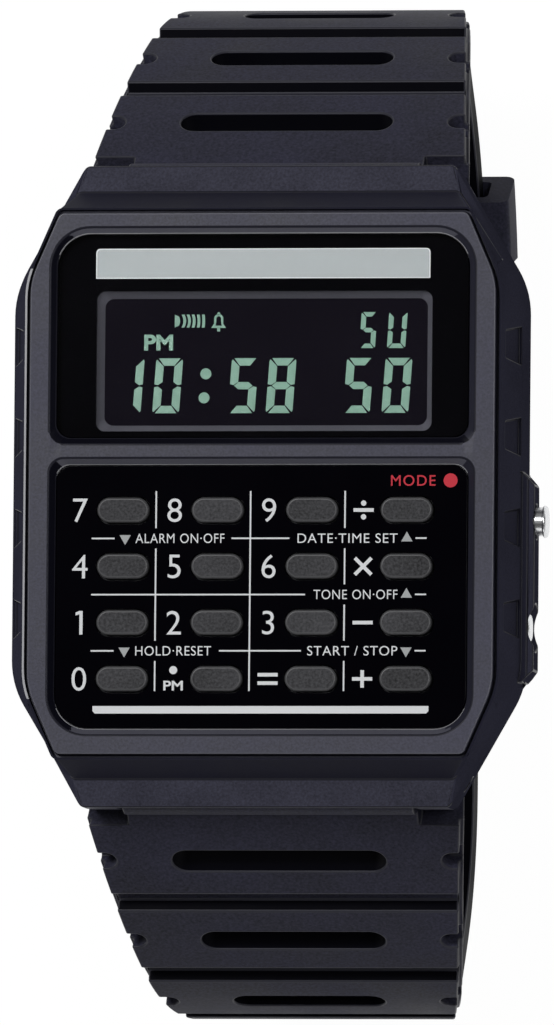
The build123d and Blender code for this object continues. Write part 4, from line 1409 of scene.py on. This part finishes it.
upright = broken_rule(left_rule, [rule_rows[0], rule_rows[2]])
upright += broken_rule(middle_rule, []) + broken_rule(right_rule, rule_rows)
level_ends = (
    (0, rule_left, stub_left),
    (0, -2.02 * mm, 1.89 * mm),
    (0, stub_right, rule_right),
    (1, rule_left, 2.97 * mm),
    (1, stub_right, rule_right),
    (2, rule_left, stub_left),
    (2, -2.80 * mm, 2.73 * mm),
    (2, stub_right, rule_right),
)
level = [((left, rule_rows[row]), (right, rule_rows[row])) for row, left, right in level_ends]
rules = [
    strokes(upright, rule_width, print_level, "white_ink"),
    strokes(level, rule_width, print_level, "white_ink", level_thickness),
]
laid_down("keypad_rules", rules, "white_ink")

# %% [markdown]
# ## Numerals
#
# Each number key has its numeral printed at its left, about 1.6 mm high. Numerals could be drawn
# by hand, but the lettering that comes with Blender is close to the printed one, made a little
# thinner. Its one has a foot, so that numeral is an outline of its own, with a short flag.

# %% Numerals of the keys
sign_step = 2.93 * mm
numeral_height = 1.58 * mm
numeral_weight = -0.004
numerals = {"zero": "0", "two": "2", "three": "3", "four": "4", "five": "5"}
numerals.update({"six": "6", "seven": "7", "eight": "8", "nine": "9"})
stem, flag = 0.22 * mm, 0.26 * mm
flag_top, flag_low, flag_root = 0.10 * mm, 0.30 * mm, 0.22 * mm


def one_outline(middle, low):
    """The outline of a one: an upright stem with a short flag at its left."""
    right, high = middle + stem, low + numeral_height
    left = right - stem
    return [
        (left, low),
        (right, low),
        (right, high),
        (left, high),
        (left - flag, high - flag_top),
        (left - flag, high - flag_low),
        (left, high - flag_root),
    ]


numeral_meshes = []
for key in [key for keys in key_rows for key in keys]:
    x, y = middle_of(key)
    middle, low, high = x - sign_step, y - numeral_height / 2, y + numeral_height / 2
    if key == "one":
        numeral_meshes.append(shape_at([one_outline(middle, low)], print_level))
    elif key in numerals:
        sign = lettering(numerals[key], middle, low, high, print_level, weight=numeral_weight)
        numeral_meshes.append(sign)
laid_down("keypad_numerals", numeral_meshes, "white_ink")

# %% [markdown]
# ## Signs of arithmetic
#
# The other keys have the signs of arithmetic. Lettering would give them the thin strokes of a
# text, and these are broad. So bars are swept strokes, dots are marks, and the plus and the times
# sign are one cross outline, upright and turned by an eighth of a circle.

# %% Signs of the keys
sign_width, sign_stroke = 1.36 * mm, 0.24 * mm
arm = sign_width / 2
plus_rise_share, times_reach_share = 0.86, 1.16
divide_lift, equals_lift = 0.46 * mm, 0.28 * mm
sign_dot_radius = 0.18 * mm


def sign_place(key):
    """The place of the sign that stands at the left of a key."""
    x, y = middle_of(key)
    return x - sign_step, y


def bar_at(key, lift=0.0):
    """The two ends of a level bar in the sign of a key."""
    x, y = sign_place(key)
    return (x - arm, y + lift), (x + arm, y + lift)


def turned(x, y, angle):
    """A flat point turned about zero."""
    return x * cos(angle) - y * sin(angle), x * sin(angle) + y * cos(angle)


def cross_at(key, reach_x, reach_y, turn):
    """A cross of two strokes as one outline, turned about its centre."""
    half = sign_stroke / 2
    centre_x, centre_y = sign_place(key)
    corners = []
    for quarter in range(4):
        reach = reach_x if quarter % 2 == 0 else reach_y
        for x, y in ((half, -half), (reach, -half), (reach, half)):
            x, y = turned(*turned(x, y, quarter * pi / 2), turn)
            corners.append((centre_x + x, centre_y + y))
    return corners


bars = [bar_at("divide"), bar_at("minus")]
bars += [bar_at("equals", equals_lift), bar_at("equals", -equals_lift)]
x, y = sign_place("divide")
dots = [(x, y + divide_lift, 0), (x, y - divide_lift, 0)]
sign_dot = ring_of((0, 0), sign_dot_radius)
plus = cross_at("plus", arm, arm * plus_rise_share, 0)
times = cross_at("times", arm * times_reach_share, arm * times_reach_share, pi / 4)
print("corners of a cross:", len(plus))

# %% Point key and the whole set of signs
point_radius, point_lift = 0.27 * mm, 0.59 * mm
half_day_low, half_day_high, half_day_width = -0.77 * mm, -0.12 * mm, 1.32 * mm
half_day_weight = 0.02
x, y = sign_place("point")
point_dot = ring_of((x, y + point_lift), point_radius)
half_day = lettering(
    "PM", x, y + half_day_low, y + half_day_high, print_level, half_day_width, half_day_weight
)
sign_meshes = [
    strokes(bars, sign_stroke, print_level, "white_ink"),
    marks(sign_dot, dots, print_level, "white_ink"),
    shape_at([point_dot], print_level),
    shape_at([plus], print_level),
    shape_at([times], print_level),
    half_day,
]
laid_down("keypad_signs", sign_meshes, "white_ink")

# %% [markdown]
# ## Words and pointers between the rows
#
# Between the rows stand plain words for the second use of the keys, 0.64 mm high, each with a
# small grey triangle that points up or down. A picture of the print would blur when seen near.
# The words are lettering between two edges, and one tree sets all the triangles.

# %% Words
word_height = 0.64 * mm
word_weight, word_spacing = -0.002, 1.08
# The words, their left and right edges, and the row that they stand in
word_places = (
    ("ALARM ON\u00b7OFF", -8.50 * mm, -2.49 * mm, 0),
    ("DATE\u00b7TIME SET", 2.43 * mm, 9.18 * mm, 0),
    ("TONE ON\u00b7OFF", 3.54 * mm, 9.20 * mm, 1),
    ("HOLD\u00b7RESET", -8.45 * mm, -3.33 * mm, 2),
    ("START / STOP", 3.15 * mm, 9.22 * mm, 2),
)


def words_between(words, left, right, row):
    """Words of the usual height between two edges, level with a line."""
    low, high = row - word_height / 2, row + word_height / 2
    middle = (left + right) / 2
    return lettering(words, middle, low, high, print_level, right - left, word_weight, word_spacing)


legends = []
for words, left, right, row in word_places:
    legends.append(words_between(words, left, right, rule_rows[row]))
laid_down("keypad_words", legends, "white_ink")

# %% Pointers
pointer_reach = 0.44 * mm
triangle = ring_of((0, 0), pointer_reach, 3, pi / 2, 2 * pi + pi / 2)
left_mark, right_mark = -9.20 * mm, 9.80 * mm
pointers = [
    (left_mark, rule_rows[0], 180),
    (right_mark, rule_rows[0], 0),
    (right_mark, rule_rows[1], 0),
    (left_mark, rule_rows[2], 180),
    (right_mark, rule_rows[2], 180),
]
pointer_mesh = marks(triangle, pointers, print_level, "grey_ink")
laid_down("keypad_pointers", [pointer_mesh], "grey_ink")

# %% [markdown]
# ## The red mark and the base line
#
# A red dot with its word stands near the upper side button, and a white line with clipped ends
# closes the keypad at its foot. Both could be marks of a tree, but each stands alone. A few
# points give each outline, worked out from its own sizes.

# %% Red mark
red_row, red_half_height = 0.19 * mm, 0.36 * mm
red_dot_x, red_dot_radius, red_dot_steps = 12.71 * mm, 0.47 * mm, 40
red_middle, red_width, red_weight, red_spacing = 10.20 * mm, 3.0 * mm, 0.004, 1.15
red_low, red_high = red_row - red_half_height, red_row + red_half_height
red_words = lettering(
    "MODE", red_middle, red_low, red_high, print_level, red_width, red_weight, red_spacing
)
red_dot = shape_at([ring_of((red_dot_x, red_row), red_dot_radius, red_dot_steps)], print_level)
laid_down("mode_mark", [red_dot, red_words], "red_ink")

# %% Base line
base_left, base_right, base_low, base_high = -11.30 * mm, 11.35 * mm, -15.37 * mm, -14.87 * mm
base_clip = 0.16 * mm
base_line = [
    (base_left, base_high),
    (base_left, base_low + base_clip),
    (base_left + base_clip, base_low),
    (base_right - base_clip, base_low),
    (base_right, base_low + base_clip),
    (base_right, base_high),
]
laid_down("keypad_base_line", [shape_at([base_line], print_level)], "white_ink")

# %% [markdown]
# ## The display
#
# A display segment is a flat bar with mitred ends, and seven of them make a number. They could be
# copied from one drawn numeral. Here the outlines come from one function of the numeral's size
# and stroke, so the large time and the small day share it. A numeral is a choice of letters from
# a to g, from the top bar clockwise to the bar in the middle.

# %% Outlines of the seven bars
def flipped(outline, width):
    """An outline seen in a mirror that stands at its side."""
    return [(width - x, y) for x, y in outline]


def dropped(outline, height):
    """An outline turned upside down in a mirror."""
    return [(x, height - y) for x, y in outline]


inner_share, tip_share = 0.92, 0.45


def segment_outlines(width, height, stroke, gap, corner):
    """The outlines of the seven bars of one numeral, with its low left corner at zero."""
    half = height / 2
    inner = stroke * inner_share
    tip = stroke * tip_share
    top = [
        (corner + gap, height),
        (width - corner - gap, height),
        (width - stroke - gap * 0.4, height - inner),
        (stroke + gap * 0.4, height - inner),
    ]
    upper_left = [
        (0, height - corner * 1.5),
        (corner * 0.45, height - corner * 0.6),
        (stroke, height - inner - gap * 1.2),
        (stroke, half + tip + gap * 0.3),
        (tip, half + gap),
        (0, half + gap * 2.2),
    ]
    upper_edge = [(tip + gap, half), (stroke + gap * 0.6, half + tip)]
    upper_edge += flipped(upper_edge, width)[::-1]
    upper_right = flipped(upper_left, width)
    return {
        "a": top,
        "b": upper_right,
        "c": dropped(upper_right, height),
        "d": dropped(top, height),
        "e": dropped(upper_left, height),
        "f": upper_left,
        "g": upper_edge + dropped(upper_edge[1:3], height)[::-1],
    }


print("inner edges at", inner_share, "and tips at", tip_share, "of a stroke")

# %% Time and day
bars_of = {"0": "abcdef", "1": "bc", "5": "acdfg", "8": "abcdefg", "S": "acdfg", "U": "bcdef"}
display_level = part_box("lcd_panel")[1].z
time_low, day_low = 4.81 * mm, 9.15 * mm
time_size = {"width": 1.81 * mm, "height": 3.68 * mm, "stroke": 0.54 * mm, "slant": 0.26 * mm}
time_size.update({"gap": 0.045 * mm, "corner": 0.13 * mm})
day_size = {"width": 1.06 * mm, "height": 2.41 * mm, "stroke": 0.33 * mm, "slant": 0.15 * mm}
day_size.update({"gap": 0.035 * mm, "corner": 0.08 * mm})
day_lefts, day_widening = (6.28 * mm, 8.14 * mm), 0.18 * mm
wide_day_size = dict(day_size, width=day_size["width"] + day_widening)
# Each sign and its left edge in mm
time_signs = (("1", -10.27), ("0", -7.67), ("5", -2.56), ("8", -0.01), ("5", 5.21), ("0", 7.81))


def numeral(sign, left, low, width, height, stroke, slant, gap, corner):
    """The segments of one sign, leaning to the right as they rise."""
    outlines = segment_outlines(width, height, stroke, gap, corner)
    meshes = []
    for bar in bars_of[sign]:
        leaning = [(left + x + slant * y / height, low + y) for x, y in outlines[bar]]
        meshes.append(shape_at([leaning], display_level))
    return meshes


segments = []
for sign, left in time_signs:
    segments += numeral(sign, left * mm, time_low, **time_size)
segments += numeral("S", day_lefts[0], day_low, **day_size)
segments += numeral("U", day_lefts[1], day_low, **wide_day_size)
print("segments:", len(segments))

# %% Colon and half of the day
colon_radius = 0.37 * mm
colon = [(-4.06 * mm, 7.45 * mm, 0), (-4.17 * mm, 5.84 * mm, 0)]
shown_middle, shown_width, shown_weight = -7.27 * mm, 1.95 * mm, 0.035
shown_low, shown_high = 9.02 * mm, 10.08 * mm
segments.append(marks(ring_of((0, 0), colon_radius), colon, display_level, "display_segment"))
segments.append(
    lettering("PM", shown_middle, shown_low, shown_high, display_level, shown_width, shown_weight)
)
print("segments with the colon:", len(segments))

# %% [markdown]
# ## Signal bars and bell
#
# At its upper left the display shows a row of curved bars, as of a sound, and a small bell. Both
# could be letters of a font with signs, but they are etched shapes of their own. Their curves come
# from short formulas: a bar bulges as a parabola does, and the bell is half a circle over two
# flared sides.

# %% Signal bars
wave_left, wave_low, wave_high = -6.19 * mm, 10.55 * mm, 11.42 * mm
wave_count, wave_begin, wave_pitch = 5, 0.45 * mm, 0.345 * mm
wave_stroke, wave_bulge, first_bulge = 0.19 * mm, 0.13 * mm, 0.17 * mm
wave_middle, wave_reach = (wave_low + wave_high) / 2, (wave_high - wave_low) / 2
bulge_steps = 7


def bulging(left, width, bulge):
    """An upright strip whose right and left sides bulge to the right."""
    rising = [index / (bulge_steps - 1) * 2 - 1 for index in range(bulge_steps)]
    right = [(left + width + bulge * (1 - t * t), wave_middle + wave_reach * t) for t in rising]
    back = [(left + bulge * (1 - t * t), wave_middle + wave_reach * t) for t in reversed(rising)]
    return right + back


rounded_side = bulging(wave_left, wave_stroke, first_bulge)[:bulge_steps]
start_mark = [(x if x > wave_left + wave_stroke else wave_left, y) for x, y in rounded_side]
start_mark += [(wave_left, wave_high), (wave_left, wave_low)]
segments.append(shape_at([start_mark], display_level))
for index in range(wave_count):
    left = wave_left + wave_begin + wave_pitch * index
    bulge = wave_bulge * (1 - index / wave_count)
    segments.append(shape_at([bulging(left, wave_stroke, bulge)], display_level))
print("segments with the signal bars:", len(segments))

# %% Bell
bell_x, bell_low, bell_high = -3.225 * mm, 10.29 * mm, 11.55 * mm
dome_radius, bell_wall, dome_steps = 0.31 * mm, 0.15 * mm, 15
knob_radius, knob_drop, knob_rise, knob_steps = 0.10 * mm, 0.07 * mm, 0.10 * mm, 16
clapper_half, clapper_drop, clapper_lap = 0.10 * mm, 0.23 * mm, 0.02 * mm
flare, flare_rise, flare_share = 0.19 * mm, 0.28 * mm, 0.9
dome_y = bell_high - knob_rise - dome_radius
brim = bell_low + clapper_drop


def bell_outline(inset):
    """The bell's outline, moved inwards by an inset."""
    radius = dome_radius - inset
    skirt = brim + inset
    spread_out = flare - inset * flare_share
    left_side = [(bell_x - radius - spread_out, skirt), (bell_x - radius, skirt + flare_rise)]
    right_side = [(bell_x + radius, skirt + flare_rise), (bell_x + radius + spread_out, skirt)]
    return left_side + ring_of((bell_x, dome_y), radius, dome_steps, pi, 0) + right_side


def rectangle(left, right, low, high):
    """The four corners of an upright rectangle."""
    return [(left, low), (right, low), (right, high), (left, high)]


knob = ring_of((bell_x, bell_high - knob_drop), knob_radius, knob_steps)
clapper = rectangle(bell_x - clapper_half, bell_x + clapper_half, bell_low, brim + clapper_lap)
segments.append(shape_at([bell_outline(0), bell_outline(bell_wall)], display_level))
segments.append(shape_at([knob], display_level))
segments.append(shape_at([clapper], display_level))
laid_down("display_segments", segments, "display_segment")

# %% [markdown]
# ## The silver bar
#
# A bar of silver foil is printed on the mask above the display, with a bright rim round a finely
# grained middle. One shape with a painted rim would blur at its edge. Two flat shapes from one
# outline make it, the inner moved inwards by the rim's width and standing a little proud.

# %% Silver bar
bar_left, bar_right, bar_low, bar_high = -11.39 * mm, 11.17 * mm, 13.76 * mm, 15.77 * mm
bar_corner, corner_steps = 0.27 * mm, 7
bar_rim = 0.07 * mm
foil_thickness = 0.01 * mm
mask_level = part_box("display_mask")[1].z


def bar_outline(inset):
    """The bar's outline, with its two upper corners rounded."""
    left, right = bar_left + inset, bar_right - inset
    low, high = bar_low + inset, bar_high - inset
    radius = bar_corner - inset / 2
    return (
        [(left, low), (right, low)]
        + ring_of((right - radius, high - radius), radius, corner_steps, 0, pi / 2)
        + ring_of((left + radius, high - radius), radius, corner_steps, pi / 2, pi)
    )


rim_mesh = shape_at([bar_outline(0)], mask_level, foil_thickness)
foil_mesh = shape_at([bar_outline(bar_rim)], mask_level + foil_thickness, foil_thickness)
laid_down("name_bar_rim", [rim_mesh], "silver_rim")
laid_down("name_bar_foil", [foil_mesh], "silver_foil")
